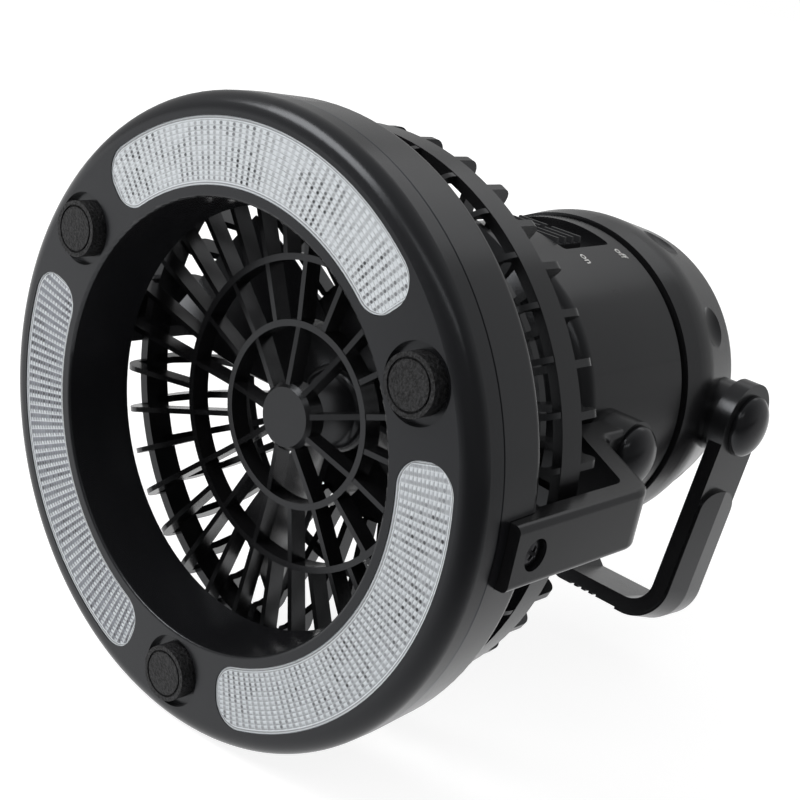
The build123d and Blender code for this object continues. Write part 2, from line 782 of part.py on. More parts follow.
# Motor can with its bearing nose in the centre plate.
with BuildPart() as motor:
    with BuildSketch(front_view(cage_rear)):
        Circle(motor_radius)
    extrude(amount=-motor_length)
    with BuildSketch(front_view(cage_rear)):
        Circle(motor_nose_radius)
    extrude(amount=cage_plate_thickness)
    with BuildSketch(front_view(cage_rear - cage_plate_thickness)):
        Circle(shaft_radius + shaft_clearance)
    extrude(amount=cage_rear - cage_plate_thickness - shaft_rear - shaft_clearance, mode=Mode.SUBTRACT)
    with BuildSketch(front_view(cage_rear)):
        with PolarLocations(motor_screw_spacing / 2, 2):
            Circle(motor_screw_radius)
    extrude(amount=-motor_screw_bite, mode=Mode.SUBTRACT)
save(motor, "motor")

# Two screws through the centre plate into the motor.
with BuildPart() as motor_screws:
    with BuildSketch(front_view(cage_rear - cage_plate_thickness)):
        with PolarLocations(motor_screw_spacing / 2, 2):
            Circle(motor_screw_head_radius)
    extrude(amount=motor_screw_head_height)
    with BuildSketch(front_view(cage_rear - cage_plate_thickness)):
        with PolarLocations(motor_screw_spacing / 2, 2):
            Circle(motor_screw_radius)
    extrude(amount=-cage_plate_thickness - motor_screw_bite)
save(motor_screws, "motor_screws")

# ==============================================================================================
# Barrel with the cells and the switches
# ==============================================================================================

boss_end = eye_inner - face_clearance

with BuildPart() as barrel:
    with BuildSketch(side_view) as profile:
        with BuildLine():
            Polyline(
                (cage_rear, neck_radius),
                (neck_end, neck_radius),
                (flare_end, barrel_front_radius),
                (barrel_rear, barrel_rear_radius),
                (barrel_rear, spigot_radius),
                (spigot_end, spigot_radius),
                (spigot_end, barrel_bore),
                (cell_floor, barrel_bore),
                (cell_floor, 0),
                (bulkhead_depth, 0),
                (bulkhead_depth, barrel_front_radius - barrel_wall),
                (flare_end + barrel_wall / 2, barrel_front_radius - barrel_wall),
                (neck_end + barrel_wall / 2, neck_radius - barrel_wall),
                (cage_rear, neck_radius - barrel_wall),
                (cage_rear, neck_radius),
            )
        make_face()
        fillet(
            corners(profile, (neck_end, neck_radius), (flare_end, barrel_front_radius)),
            flare_rounding,
        )
    revolve(axis=fan_axis)
    # Side bosses for the tilt pivots.
    for side in (1, -1):
        with BuildSketch(cross_view(side * barrel_bore, tilt_depth)):
            Circle(eye_radius)
        extrude(amount=side * (boss_end - barrel_bore))
        with BuildSketch(cross_view(side * boss_end, tilt_depth)):
            Circle(pin_radius)
        extrude(amount=-side * eye_radius, mode=Mode.SUBTRACT)
    # Twin tubes for the cells, tied to the shell by four ribs.
    with BuildSketch(front_view(cell_floor)):
        with Locations((cell_x, 0), (-cell_x, 0)):
            Circle(tube_radius + tube_wall)
        with Locations((0, (barrel_bore + tube_wall) / 2), (0, -(barrel_bore + tube_wall) / 2)):
            with Locations((cell_x, 0), (-cell_x, 0)):
                Rectangle(tube_wall, barrel_bore / 2.2)
        with Locations((cell_x, 0), (-cell_x, 0)):
            Circle(tube_radius, mode=Mode.SUBTRACT)
    extrude(amount=cell_floor - spigot_end)
    # Bayonet lugs on the spigot.
    for angle in lug_angles:
        with BuildSketch(radial_plane(angle + lug_half_angle)):
            with Locations((lug_depth + lug_length / 2, spigot_radius + lug_height / 2 - 0.5)):
                Rectangle(lug_length, lug_height + 1)
        revolve(axis=fan_axis, revolution_arc=2 * lug_half_angle)
    # Flat-floored pocket for the two slide switches, with a slot under each.
    with BuildSketch(Plane.XY.offset(axis_height + pocket_floor)):
        with Locations((0, front_y + (pocket_front + pocket_rear) / 2)):
            RectangleRounded(2 * pocket_half_width, pocket_length, pocket_rounding)
    extrude(amount=barrel_wall * 3, mode=Mode.SUBTRACT)
    slot_length = stem_length + knob_travel + 2 * stem_clearance
    slot_middle = stem_start + (stem_length + knob_travel) / 2
    with BuildSketch(Plane.XY.offset(axis_height + pocket_floor)):
        with Locations((knob_spacing / 2, front_y + slot_middle), (-knob_spacing / 2, front_y + slot_middle)):
            Rectangle(stem_width + 2 * stem_clearance, slot_length)
    extrude(amount=-3 * barrel_wall, mode=Mode.SUBTRACT)
save(barrel, "barrel")

# Pivot pins: shafts through the arm eyes into the bosses, with domed heads outside.
dome_start = eye_outer + face_clearance
for name, side in (("pivot_pin_right", 1), ("pivot_pin_left", -1)):
    with BuildPart() as pin:
        add(pin_head(side, dome_start, tilt_depth, eye_radius - dome_margin))
        with BuildSketch(cross_view(side * dome_start, tilt_depth)):
            Circle(pin_radius)
        extrude(amount=-side * (dome_start - barrel_bore + 1))
    save(pin, name)

# D cells, one facing forwards and one facing back.
for name, side in (("cell_right", 1), ("cell_left", -1)):
    body_front = cell_front + (cell_nub_height if side > 0 else 0)
    nub_front = cell_front if side > 0 else cell_front + cell_length - cell_nub_height
    with BuildPart() as cell:
        with BuildSketch(front_view(body_front)):
            with Locations((side * cell_x, 0)):
                Circle(cell_radius)
        extrude(amount=cell_nub_height - cell_length)
        fillet(cell.edges(), cell_rounding)
        with BuildSketch(front_view(nub_front)):
            with Locations((side * cell_x, 0)):
                Circle(cell_nub_radius)
        extrude(amount=-cell_nub_height)
    save(cell, name)

# Contacts on the bulkhead in front of the cells: a plate and a coned spring or button each.
with BuildPart() as front_contacts:
    with BuildSketch(front_view(cell_floor)):
        with Locations((cell_x, 0), (-cell_x, 0)):
            Rectangle(contact_width, contact_width)
    extrude(amount=-contact_thickness)
    with BuildSketch(front_view(cell_floor + contact_thickness)):
        with Locations((cell_x, 0), (-cell_x, 0)):
            Circle(spring_radius)
    extrude(amount=cell_floor + contact_thickness - cell_front, taper=spring_taper)
save(front_contacts, "front_contacts")

# Slide switch bodies under the pocket floor, each with a channel for the knob's stem.
with BuildPart() as switch_bodies:
    body_middle = front_y + slot_middle
    with BuildSketch(Plane.XY.offset(axis_height + switch_body_top)):
        with Locations((knob_spacing / 2, body_middle), (-knob_spacing / 2, body_middle)):
            Rectangle(switch_body_width, switch_body_length)
    extrude(amount=switch_body_bottom - switch_body_top)
    with BuildSketch(Plane.XY.offset(axis_height + switch_body_top)):
        with Locations((knob_spacing / 2, body_middle), (-knob_spacing / 2, body_middle)):
            Rectangle(stem_width + 2 * stem_clearance, slot_length)
    extrude(amount=stem_bottom - stem_clearance - switch_body_top, mode=Mode.SUBTRACT)
save(switch_bodies, "switch_bodies")

# Slide knobs: ribbed blocks side by side, shown pushed forwards.
knob_bottom = axis_height + pocket_floor + knob_float
for name, side in (("light_switch", 1), ("fan_switch", -1)):
    knob_middle = (side * knob_spacing / 2, front_y + knob_start + knob_length / 2)
    with BuildPart() as knob:
        with BuildSketch(Plane.XY.offset(knob_bottom)):
            with Locations(knob_middle):
                Rectangle(knob_width, knob_length)
        extrude(amount=knob_base)
        with BuildSketch(Plane.XY.offset(knob_bottom + knob_base)):
            with Locations(knob_middle):
                with GridLocations(0, (knob_length - rib_width) / (rib_count - 1), 1, rib_count):
                    Rectangle(knob_width, rib_width)
        extrude(amount=knob_height - knob_base, taper=knob_taper)
        with BuildSketch(Plane.XY.offset(knob_bottom)):
            with Locations((side * knob_spacing / 2, front_y + stem_start + stem_length / 2)):
                Rectangle(stem_width, stem_length)
        extrude(amount=stem_bottom - pocket_floor - knob_float)
    save(knob, name)

# ==============================================================================================
# Battery cap and hook
# ==============================================================================================

cap_bore = spigot_radius + spigot_clearance
channel_radius = spigot_radius + lug_height + lug_clearance
channel_start = lug_depth - lug_clearance
channel_end = lug_depth + lug_length + lug_clearance
slot_half_angle = lug_half_angle + 2
cap_slope = (cap_crown_radius - cap_rear_radius) / (cap_rear - cap_crown_depth)
dent_height = cap_crown_radius - dent_set_back * cap_slope - dent_depth + dent_radius
hook_boss_end = hook_eye_inner - face_clearance

with BuildPart() as battery_cap:
    with BuildSketch(side_view) as profile:
        with BuildLine():
            Polyline(
                (cap_front, cap_bore),
                (cap_front, cap_front_radius),
                (cap_crown_depth, cap_crown_radius),
                (cap_rear, cap_rear_radius),
                (cap_rear, 0),
                (cap_rear - cap_end_thickness, 0),
                (cap_rear - cap_end_thickness, cap_rear_radius - cap_wall),
                (cap_crown_depth + cap_wall / 2, cap_bore),
                (cap_front, cap_bore),
            )
        make_face()
        fillet(corners(profile, (cap_crown_depth, cap_crown_radius)), cap_crown_rounding)
        fillet(corners(profile, (cap_rear, cap_rear_radius)), cap_rear_rounding)
    revolve(axis=fan_axis)
    # Round finger dents about the rear shoulder, but none where the hook's boss stands.
    for angle in dent_angles:
        with Locations(radial_plane(angle) * Location((dent_centre, dent_height))):
            Sphere(dent_radius, mode=Mode.SUBTRACT)
    # Bayonet channels: the lug enters at one end and locks at the other.
    for angle in lug_angles:
        with BuildSketch(radial_plane(angle + cap_turn + slot_half_angle)):
            with Locations(((channel_start + channel_end) / 2, (cap_bore + channel_radius - 1) / 2)):
                Rectangle(channel_end - channel_start, channel_radius - cap_bore + 1)
        revolve(axis=fan_axis, revolution_arc=cap_turn + 2 * slot_half_angle, mode=Mode.SUBTRACT)
        with BuildSketch(radial_plane(angle + cap_turn + slot_half_angle)):
            with Locations(((cap_front + channel_end) / 2, (cap_bore + channel_radius - 1) / 2)):
                Rectangle(channel_end - cap_front, channel_radius - cap_bore + 1)
        revolve(axis=fan_axis, revolution_arc=2 * slot_half_angle, mode=Mode.SUBTRACT)
    # Boss for the hook's pin.
    with BuildSketch(cross_view(hook_boss_start, hook_pivot_depth)):
        Circle(hook_boss_radius)
    extrude(amount=hook_boss_end - hook_boss_start)
    with BuildSketch(cross_view(hook_boss_end, hook_pivot_depth)):
        Circle(pin_radius)
    extrude(amount=hook_hole_floor - hook_boss_end, mode=Mode.SUBTRACT)
save(battery_cap, "battery_cap")

# Bridge contact inside the cap, with a coned spring for each cell.
contact_front = cap_rear - cap_end_thickness - contact_thickness
with BuildPart() as cap_contact:
    with BuildSketch(front_view(contact_front)):
        Rectangle(cell_spacing + contact_width, contact_width)
    extrude(amount=-contact_thickness)
    with BuildSketch(front_view(contact_front)):
        with Locations((cell_x, 0), (-cell_x, 0)):
            Circle(spring_radius)
    extrude(amount=contact_front - cell_front - cell_length - cap_contact_gap, taper=spring_taper)
save(cap_contact, "cap_contact")

# Hook pin with its domed head.
hook_dome_start = hook_eye_outer + face_clearance
with BuildPart() as hook_pin:
    add(pin_head(1, hook_dome_start, hook_pivot_depth, hook_dome_radius))
    with BuildSketch(cross_view(hook_dome_start, hook_pivot_depth)):
        Circle(pin_radius)
    extrude(amount=hook_hole_floor - hook_dome_start)
save(hook_pin, "hook_pin")

# Hook: a flat J-shaped strap that hangs from the pin, crosses under the cap and turns up at its
# tip, with a raised pad round the outside of the corner and grip grooves near the tip.
lean = radians(hook_lean)
hook_plane = Plane(
    origin=(0, front_y + hook_pivot_depth, axis_height),
    x_dir=(1, 0, 0),
    z_dir=(0, -cos(lean), sin(lean)),
)
tip_step = hook_tip_rise * tan(radians(45 / 2))

# The raised pad outside the hook's corner: ridged along its middle, with an arched upper end.
pad_top = hook_pad_arch - hook_pad_top
corner_x = hook_eye_outer - hook_corner_rounding
corner_y = hook_corner_rounding - hook_drop
pad_section = Plane(
    origin=hook_plane.from_local_coords((hook_eye_outer, pad_top)),
    x_dir=hook_plane.x_dir,
    z_dir=-hook_plane.y_dir,
)

with BuildPart() as hook_pad:
    with BuildLine(hook_plane):
        Line((hook_eye_outer, pad_top), (hook_eye_outer, corner_y))
        CenterArc((corner_x, corner_y), hook_corner_rounding, 0, -90)
        Line((corner_x, -hook_drop), (hook_pad_end, -hook_drop))
    with BuildSketch(pad_section):
        Polygon(
            (-hook_thickness / 4, -hook_pad_width / 2),
            (hook_pad_edge, -hook_pad_width / 2),
            (hook_pad_proud, 0),
            (hook_pad_edge, hook_pad_width / 2),
            (-hook_thickness / 4, hook_pad_width / 2),
            align=None,
        )
    sweep()
    pad_plane = Plane(
        origin=hook_plane.from_local_coords((hook_eye_outer, -hook_pad_top)),
        x_dir=hook_plane.y_dir,
        z_dir=(1, 0, 0),
    )
    with BuildSketch(pad_plane):
        with Locations((hook_pad_arch, 0)):
            Rectangle(2 * hook_pad_arch, 2 * hook_pad_width)
        Ellipse(hook_pad_arch, hook_pad_width / 2, mode=Mode.SUBTRACT)
    extrude(amount=hook_thickness, both=True, mode=Mode.SUBTRACT)

with BuildPart() as hook:
    with BuildSketch(hook_plane) as profile:
        with BuildLine():
            Polyline(
                (hook_inner, 0),
                (hook_eye_outer, 0),
                (hook_eye_outer, -hook_drop),
                (hook_tip_x - tip_step, -hook_drop),
                (hook_tip_x - hook_tip_rise - tip_step, hook_tip_rise - hook_drop),
                (hook_tip_x - hook_tip_rise, hook_tip_rise - hook_drop + hook_thickness * 0.85),
                (hook_tip_x, hook_thickness - hook_drop),
                (hook_inner, hook_thickness - hook_drop),
                (hook_inner, 0),
            )
        make_face()
        fillet(corners(profile, (hook_eye_outer, -hook_drop)), hook_corner_rounding)
        fillet(
            corners(profile, (hook_inner, hook_thickness - hook_drop)),
            hook_corner_rounding - hook_thickness,
        )
        fillet(corners(profile, (hook_tip_x - tip_step, -hook_drop)), hook_tip_rounding)
    extrude(amount=hook_width / 2, both=True)
    add(hook_pad.part)
    # Round eye about the pin.
    with BuildSketch(cross_view(hook_eye_inner, hook_pivot_depth)):
        Circle(hook_eye_radius)
    extrude(amount=hook_eye_thickness)
    with BuildSketch(cross_view(hook_eye_inner, hook_pivot_depth)):
        Circle(pin_radius + pin_clearance)
    extrude(amount=hook_eye_outer - hook_eye_inner, mode=Mode.SUBTRACT)
    # Grip grooves under the cross bar.
    with BuildSketch(hook_plane):
        with Locations(((hook_tip_x + hook_pad_end) / 2 - grip_groove_inset, -hook_drop)):
            with GridLocations(grip_groove_pitch, 0, grip_groove_count, 1):
                Rectangle(grip_groove_width, 2 * grip_groove_depth)
    extrude(amount=hook_width, both=True, mode=Mode.SUBTRACT)
save(hook, "hook")
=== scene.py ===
# %% [markdown]
# # Camping fan with a light ring
# A tent fan whose front is a ring of three prismatic lamp windows. It stands face down on the
# ring's three rubber feet or hangs from its hook, and the fan head tilts between two arms on the
# ring. The CAD model gives every piece, and this notebook gives each one its finish: satin moulded
# plastic, clear prismatic lenses, rubber feet, steel screws. Lengths are metres here.

import json
import math

import bpy
import numpy as np
from mathutils import Matrix, Vector


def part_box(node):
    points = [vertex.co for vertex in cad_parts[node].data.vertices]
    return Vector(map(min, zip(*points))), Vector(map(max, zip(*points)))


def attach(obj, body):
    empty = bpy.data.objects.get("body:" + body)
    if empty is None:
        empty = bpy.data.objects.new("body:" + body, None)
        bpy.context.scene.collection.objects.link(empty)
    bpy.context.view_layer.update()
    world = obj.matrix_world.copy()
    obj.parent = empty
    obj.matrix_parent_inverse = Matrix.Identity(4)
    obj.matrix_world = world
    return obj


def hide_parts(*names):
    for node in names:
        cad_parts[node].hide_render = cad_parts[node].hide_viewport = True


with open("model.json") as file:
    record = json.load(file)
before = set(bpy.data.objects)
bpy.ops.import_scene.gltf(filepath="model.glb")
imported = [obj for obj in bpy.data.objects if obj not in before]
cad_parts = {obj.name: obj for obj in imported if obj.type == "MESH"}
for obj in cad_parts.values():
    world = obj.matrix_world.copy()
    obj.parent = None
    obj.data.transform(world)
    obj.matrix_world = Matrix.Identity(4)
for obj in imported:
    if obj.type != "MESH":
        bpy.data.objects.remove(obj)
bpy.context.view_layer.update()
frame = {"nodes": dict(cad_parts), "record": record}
nodes = frame["nodes"]

# %% [markdown]
# ## Where the fan sits
# The ring's flat face looks along -Y. Every radius below is measured from the fan axis, which is
# level at the height of the ring's radius, and every depth rearwards from the flat face. The CAD
# boxes give these places, so nothing here has to be measured twice.

# %% Axis of the fan
MM = 0.001
bezel_low, bezel_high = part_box("front_bezel")
face_y = bezel_low[1]
axis_z = (bezel_low[2] + bezel_high[2]) / 2
ring_outer = (bezel_high[2] - bezel_low[2]) / 2
print("flat face at y =", round(face_y, 5), "axis at z =", round(axis_z, 5))
print("ring radius", round(ring_outer, 5))

# %% [markdown]
# ## Finishes
# A material in Blender is a tree of nodes, and most of its lines would only say which socket goes
# where. One helper makes a node and fills its inputs: a number or colour is set on the socket, and
# the output of another node is linked to it. A second one starts a node group, which is a piece of
# tree that several materials share.

# %% Nodes and node groups
def put(tree, kind, inputs=(), **settings):
    """A node of that kind with its settings, and each input socket set to a value or linked to a socket."""
    node = tree.nodes.new(kind)
    for name, value in settings.items():
        setattr(node, name, value)
    for name, value in dict(inputs).items():
        if isinstance(value, bpy.types.NodeSocket):
            tree.links.new(value, node.inputs[name])
        else:
            node.inputs[name].default_value = value
    return node


def node_group(name, inputs, outputs):
    """An empty node group with float inputs {name: default} and outputs {name: socket type}."""
    group = bpy.data.node_groups.new(name, "ShaderNodeTree")
    for label, value in inputs.items():
        socket = group.interface.new_socket(label, in_out="INPUT", socket_type="NodeSocketFloat")
        socket.default_value = value
    for label, kind in outputs.items():
        group.interface.new_socket(label, in_out="OUTPUT", socket_type=kind)
    print("group", name, "takes", list(inputs), "and gives", list(outputs))
    return group, group.nodes.new("NodeGroupInput").outputs, group.nodes.new("NodeGroupOutput").inputs


def object_place(tree):
    """The shaded point in the piece's own coordinates, which are the fan's since no piece is moved."""
    return put(tree, "ShaderNodeTexCoord").outputs["Object"]


# %% [markdown]
# Every plastic piece comes out of a spark-eroded mould, which leaves a very fine even grain. The
# grain is noise in object coordinates, because a moulding has no seams in its texture. It is a
# group, so that each finish can have it coarser, deeper or stronger. The group gives the bent
# normal, and also the height itself for a finish whose crests are paler.

# %% Mould grain
grain, grain_in, grain_out = node_group(
    "mould_grain",
    {"Scale": 1500.0, "Depth": 0.01 * MM, "Strength": 0.5},
    {"Normal": "NodeSocketVector", "Height": "NodeSocketFloat"},
)
grain_noise = put(
    grain,
    "ShaderNodeTexNoise",
    {"Vector": object_place(grain), "Scale": grain_in["Scale"], "Detail": 3.0, "Roughness": 0.6},
)
grain_bump = put(
    grain,
    "ShaderNodeBump",
    {"Height": grain_noise.outputs["Fac"], "Distance": grain_in["Depth"], "Strength": grain_in["Strength"]},
)
grain.links.new(grain_bump.outputs["Normal"], grain_out["Normal"])
grain.links.new(grain_noise.outputs["Fac"], grain_out["Height"])

# %% [markdown]
# Handling polishes a plastic case a little unevenly. Much wider noise, taken round its middle
# value, moves the roughness up and down by half the spread, so the gloss changes softly from
# place to place. The sum is made with Math nodes, and a smooth step, which later masks need,
# is a helper beside them.

# %% Nodes that calculate
def math_node(tree, operation, *inputs):
    """The result of a Math node whose inputs are numbers or sockets."""
    return put(tree, "ShaderNodeMath", dict(enumerate(inputs)), operation=operation).outputs[0]


def ramp(tree, value, low, high, at_low, at_high, kind="SMOOTHSTEP"):
    """at_low where value is low, at_high where it is high, and a smooth or a straight run between them."""
    span = {"Value": value, "From Min": low, "From Max": high, "To Min": at_low, "To Max": at_high}
    return put(tree, "ShaderNodeMapRange", span, interpolation_type=kind).outputs["Result"]


# %% Uneven polish
polish, polish_in, polish_out = node_group(
    "uneven_polish",
    {"Roughness": 0.4, "Spread": 0.06, "Scale": 60.0},
    {"Roughness": "NodeSocketFloat"},
)
polish_noise = put(
    polish,
    "ShaderNodeTexNoise",
    {"Vector": object_place(polish), "Scale": polish_in["Scale"], "Detail": 4.0, "Roughness": 0.55},
)
polish_swing = math_node(polish, "SUBTRACT", polish_noise.outputs["Fac"], 0.5)
polish_sum = math_node(polish, "MULTIPLY_ADD", polish_swing, polish_in["Spread"], polish_in["Roughness"])
polish.links.new(polish_sum, polish_out["Roughness"])

# %% [markdown]
# The barrel and the cap come out of moulds in two halves, so a fine parting line runs along each
# side of them, a little above the middle. It lies where a plane through the fan's axis, turned by
# the line's angle, meets the skin. The group measures the distance to that plane and gives 1
# where it is less than the group's width.

# %% Parting line of a two-part mould
parting_angle = math.radians(24)
parting_width = 0.22 * MM
parting, parting_in, parting_out = node_group(
    "parting_line", {"Width": parting_width}, {"Line": "NodeSocketFloat"}
)
parting_place = put(parting, "ShaderNodeSeparateXYZ", {0: object_place(parting)}).outputs
parting_side = math_node(parting, "ABSOLUTE", parting_place["X"])
parting_run = math_node(parting, "MULTIPLY", parting_side, math.sin(parting_angle))
parting_height = math_node(parting, "SUBTRACT", parting_place["Z"], axis_z)
parting_rise = math_node(parting, "MULTIPLY", parting_height, math.cos(parting_angle))
parting_gap = math_node(parting, "ABSOLUTE", math_node(parting, "SUBTRACT", parting_run, parting_rise))
parting_mark = math_node(parting, "LESS_THAN", parting_gap, parting_in["Width"])
parting.links.new(parting_mark, parting_out["Line"])

# %% [markdown]
# The bezel and the cover of the ring meet in a butt joint round the side wall. The two edges are
# never quite sharp, so the joint shows as a thin dark groove. It lies at one depth behind the
# face and only on the outer wall, so the group gives 1 near that depth, and only where the radius
# from the axis is close to the ring's own.

# %% Joint line round the ring
joint_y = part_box("ring_cover")[0][1]
joint_wall_depth = 1.0 * MM
joint_reach = ring_outer - joint_wall_depth
joint_width = 0.24 * MM
joint, joint_in, joint_out = node_group("ring_joint", {"Width": joint_width}, {"Line": "NodeSocketFloat"})
joint_place = object_place(joint)
joint_depth = put(joint, "ShaderNodeSeparateXYZ", {0: joint_place}).outputs["Y"]
joint_gap = math_node(joint, "ABSOLUTE", math_node(joint, "SUBTRACT", joint_depth, joint_y))
joint_near = math_node(joint, "LESS_THAN", joint_gap, joint_in["Width"])
joint_across = put(
    joint,
    "ShaderNodeVectorMath",
    {0: joint_place, 1: (1.0, 0.0, 1.0), 2: (0.0, 0.0, -axis_z)},
    operation="MULTIPLY_ADD",
)
joint_radius = put(joint, "ShaderNodeVectorMath", {0: joint_across.outputs["Vector"]}, operation="LENGTH")
joint_wall = math_node(joint, "GREATER_THAN", joint_radius.outputs["Value"], joint_reach)
joint.links.new(math_node(joint, "MULTIPLY", joint_near, joint_wall), joint_out["Line"])
print("joint at y =", round(joint_y, 5), "outside radius", round(joint_reach, 5))

# %% [markdown]
# A finish is then one Principled shader with the grain and the polish in front of it. Lengths in
# the groups are metres, so a grain scale of 1500 gives grains about two thirds of a millimetre
# apart. The parting line is raised, because flash is squeezed out between the mould's halves, and
# the ring's joint is black and metallic, so that the groove sends back neither the plastic's own
# colour nor its gloss.

# %% One function for a finish
polish_scale = 60.0
parting_ridge = 0.05 * MM
crest_begins, crest_full = 0.35, 0.65
groove_black = (0.001, 0.001, 0.001, 1.0)


def mix_colour(tree, factor, at_zero, at_one):
    """The colour at_zero where factor is 0 and at_one where it is 1, each of them a value or a socket."""
    colours = {"Factor": factor, "A": at_zero, "B": at_one}
    return put(tree, "ShaderNodeMix", colours, data_type="RGBA").outputs["Result"]


def finish(
    name,
    colour,
    roughness,
    spread=0.05,
    grain_scale=1500.0,
    grain_depth=0.01 * MM,
    strength=0.5,
    parted=False,
    jointed=False,
    crest_colour=None,
    **shader_values,
):
    """A Principled material: roughness from uneven_polish, normal from mould_grain, other sockets as given.

    A parted finish also has the parting line, as a ridge on top of the grain. A jointed finish
    has the dark joint round the ring. A finish with a crest_colour takes that colour on the
    crests of its grain.
    """
    material = bpy.data.materials.new(name)
    material.use_nodes = True
    tree = material.node_tree
    tree.nodes.clear()
    wear_values = {"Roughness": roughness, "Spread": spread, "Scale": polish_scale}
    wear = put(tree, "ShaderNodeGroup", wear_values, node_tree=polish)
    grain_values = {"Scale": grain_scale, "Depth": grain_depth, "Strength": strength}
    texture = put(tree, "ShaderNodeGroup", grain_values, node_tree=grain).outputs
    base = (*colour, 1.0)
    sockets = {"Base Color": base, "Roughness": wear.outputs["Roughness"], "Normal": texture["Normal"]}
    if parted:
        line = put(tree, "ShaderNodeGroup", node_tree=parting).outputs["Line"]
        ridge = {"Height": line, "Normal": texture["Normal"], "Distance": parting_ridge, "Strength": 1.0}
        sockets["Normal"] = put(tree, "ShaderNodeBump", ridge).outputs["Normal"]
    if jointed:
        line = put(tree, "ShaderNodeGroup", node_tree=joint).outputs["Line"]
        sockets["Base Color"] = mix_colour(tree, line, base, groove_black)
        sockets["Metallic"] = line
    if crest_colour is not None:
        crests = ramp(tree, texture["Height"], crest_begins, crest_full, 0.0, 1.0)
        sockets["Base Color"] = mix_colour(tree, crests, base, (*crest_colour, 1.0))
    shader = put(tree, "ShaderNodeBsdfPrincipled", {**sockets, **shader_values})
    put(tree, "ShaderNodeOutputMaterial", {"Surface": shader.outputs["BSDF"]})
    print("finish", name, "roughness", roughness, "+/-", spread / 2)
    return material


# %% [markdown]
# The case, the ring, the arms and the hook are one black plastic, such as ABS, with a satin skin.
# Its colour is nearly nothing: what the eye sees is the room in a slightly cool gloss. Barrel and
# cap get their parting line and the ring its joint. The pins and the blades are a little
# smoother, and the knobs are duller from being pushed.

# %% Black plastics
satin = {"Specular IOR Level": 0.48, "Specular Tint": (0.93, 0.955, 1.0, 1.0)}
shell_black = (0.009, 0.009, 0.0096)
shell_grain = 0.02 * MM
shell = finish("black_shell", shell_black, 0.23, spread=0.10, grain_depth=shell_grain, **satin)
parted_shell = finish(
    "black_parted_shell", shell_black, 0.24, spread=0.12, grain_depth=shell_grain, parted=True, **satin
)
ring_black = (0.0088, 0.009, 0.0102)
ring_shell = finish(
    "black_ring_shell", ring_black, 0.24, spread=0.10, grain_depth=shell_grain, jointed=True, **satin
)
pin_black = finish("black_pins", (0.009, 0.009, 0.010), 0.20, spread=0.06, **satin)
fan_black = finish("black_impeller", (0.008, 0.008, 0.009), 0.24, spread=0.06, **satin)
knob_black = finish("black_knobs", (0.012, 0.012, 0.013), 0.40, spread=0.08, grain_depth=shell_grain, **satin)

# %% [markdown]
# The feet are soft rubber, which has hardly any gloss, and the mould for it is left rough so that
# they grip. Their grain is deep enough to see, and its crests are a paler grey. The screws are
# black zinc-plated steel: a metal, so its colour is the colour of its gloss.

# %% Rubber and metals
rubber = finish(
    "rubber",
    (0.008, 0.008, 0.0085),
    0.50,
    spread=0.2,
    grain_depth=0.6 * MM,
    strength=1.0,
    crest_colour=(0.034, 0.034, 0.036),
    **{"Specular IOR Level": 0.3},
)
steel = finish("black_zinc_steel", (0.07, 0.07, 0.075), 0.26, spread=0.12, grain_scale=900.0, Metallic=1.0)
contact = finish("contact_metal", (0.78, 0.72, 0.55), 0.3, Metallic=1.0)
motor_can = finish("motor_can", (0.5, 0.5, 0.5), 0.35, Metallic=1.0)

# %% [markdown]
# The pieces inside hardly show, but whoever takes the model apart will see them, so each has a
# plain finish too: a white lamp board, yellowish lamp resin, wrapped cells, dark switch cases.

# %% Pieces inside
board = finish("lamp_board", (0.82, 0.83, 0.84), 0.45)
led_clear = finish("led_resin", (0.85, 0.86, 0.80), 0.12, **{"Transmission Weight": 0.4})
cell_wrap = finish("cell_wrap", (0.05, 0.09, 0.16), 0.32)
switch_case = finish("switch_case", (0.03, 0.03, 0.03), 0.5)

# %% [markdown]
# The record names a material slot for each node, and each slot has one finish here. Only the
# pieces with a parting line or a joint take their own version of the shell's finish.

# %% Finish of every CAD node
finish_of_slot = {
    "shell_plastic": shell,
    "pin_plastic": pin_black,
    "impeller_plastic": fan_black,
    "knob_plastic": knob_black,
    "rubber": rubber,
    "steel": steel,
    "contact_metal": contact,
    "motor_can": motor_can,
    "board": board,
    "led": led_clear,
    "cell_wrap": cell_wrap,
    "switch_case": switch_case,
    "lens_plastic": led_clear,
}
slot_of_node = {piece["node"]: piece["material_slot"] for piece in frame["record"]["subparts"]}
finish_of_node = {name: finish_of_slot[slot] for name, slot in slot_of_node.items()}
for name in ("barrel", "battery_cap"):
    finish_of_node[name] = parted_shell
for name in ("front_bezel", "ring_cover"):
    finish_of_node[name] = ring_shell
for name, shape in nodes.items():
    shape.data.materials.clear()
    shape.data.materials.append(finish_of_node[name])
print("finishes on", len(finish_of_node), "nodes")

# %% [markdown]
# ## Prismatic lenses
# Each lamp window is a clear moulding whose face is all small pillows: straight ribs that run
# out from the axis cross concentric rows. The pillows spread each LED into an even glow, and
# unlit they make the window look silvery. The window is an arc of a ring with rounded ends, so
# its outline is two radii that depend on the angle, and come together near each end.

# %% Outline of a lens
lens_inner, lens_outer = 54.4 * MM, 69.5 * MM
lens_half_angle = math.radians(45.7)
lens_rounding = 6.5 * MM


def lens_limits(angle):
    """Inner and outer radius of the window at an angle from its middle.

    Near an end, at arc distance s from it, each side comes in by R - sqrt(R^2 - (R - s)^2).
    """
    gap = (lens_half_angle - np.abs(angle)) * (lens_inner + lens_outer) / 2
    short = np.clip(lens_rounding - gap, 0.0, lens_rounding)
    come_in = lens_rounding - np.sqrt(np.maximum(lens_rounding**2 - short**2, 0.0))
    return lens_inner + come_in, lens_outer - come_in


print("window", round((lens_outer - lens_inner) / MM, 2), "mm wide, its ends rounded")

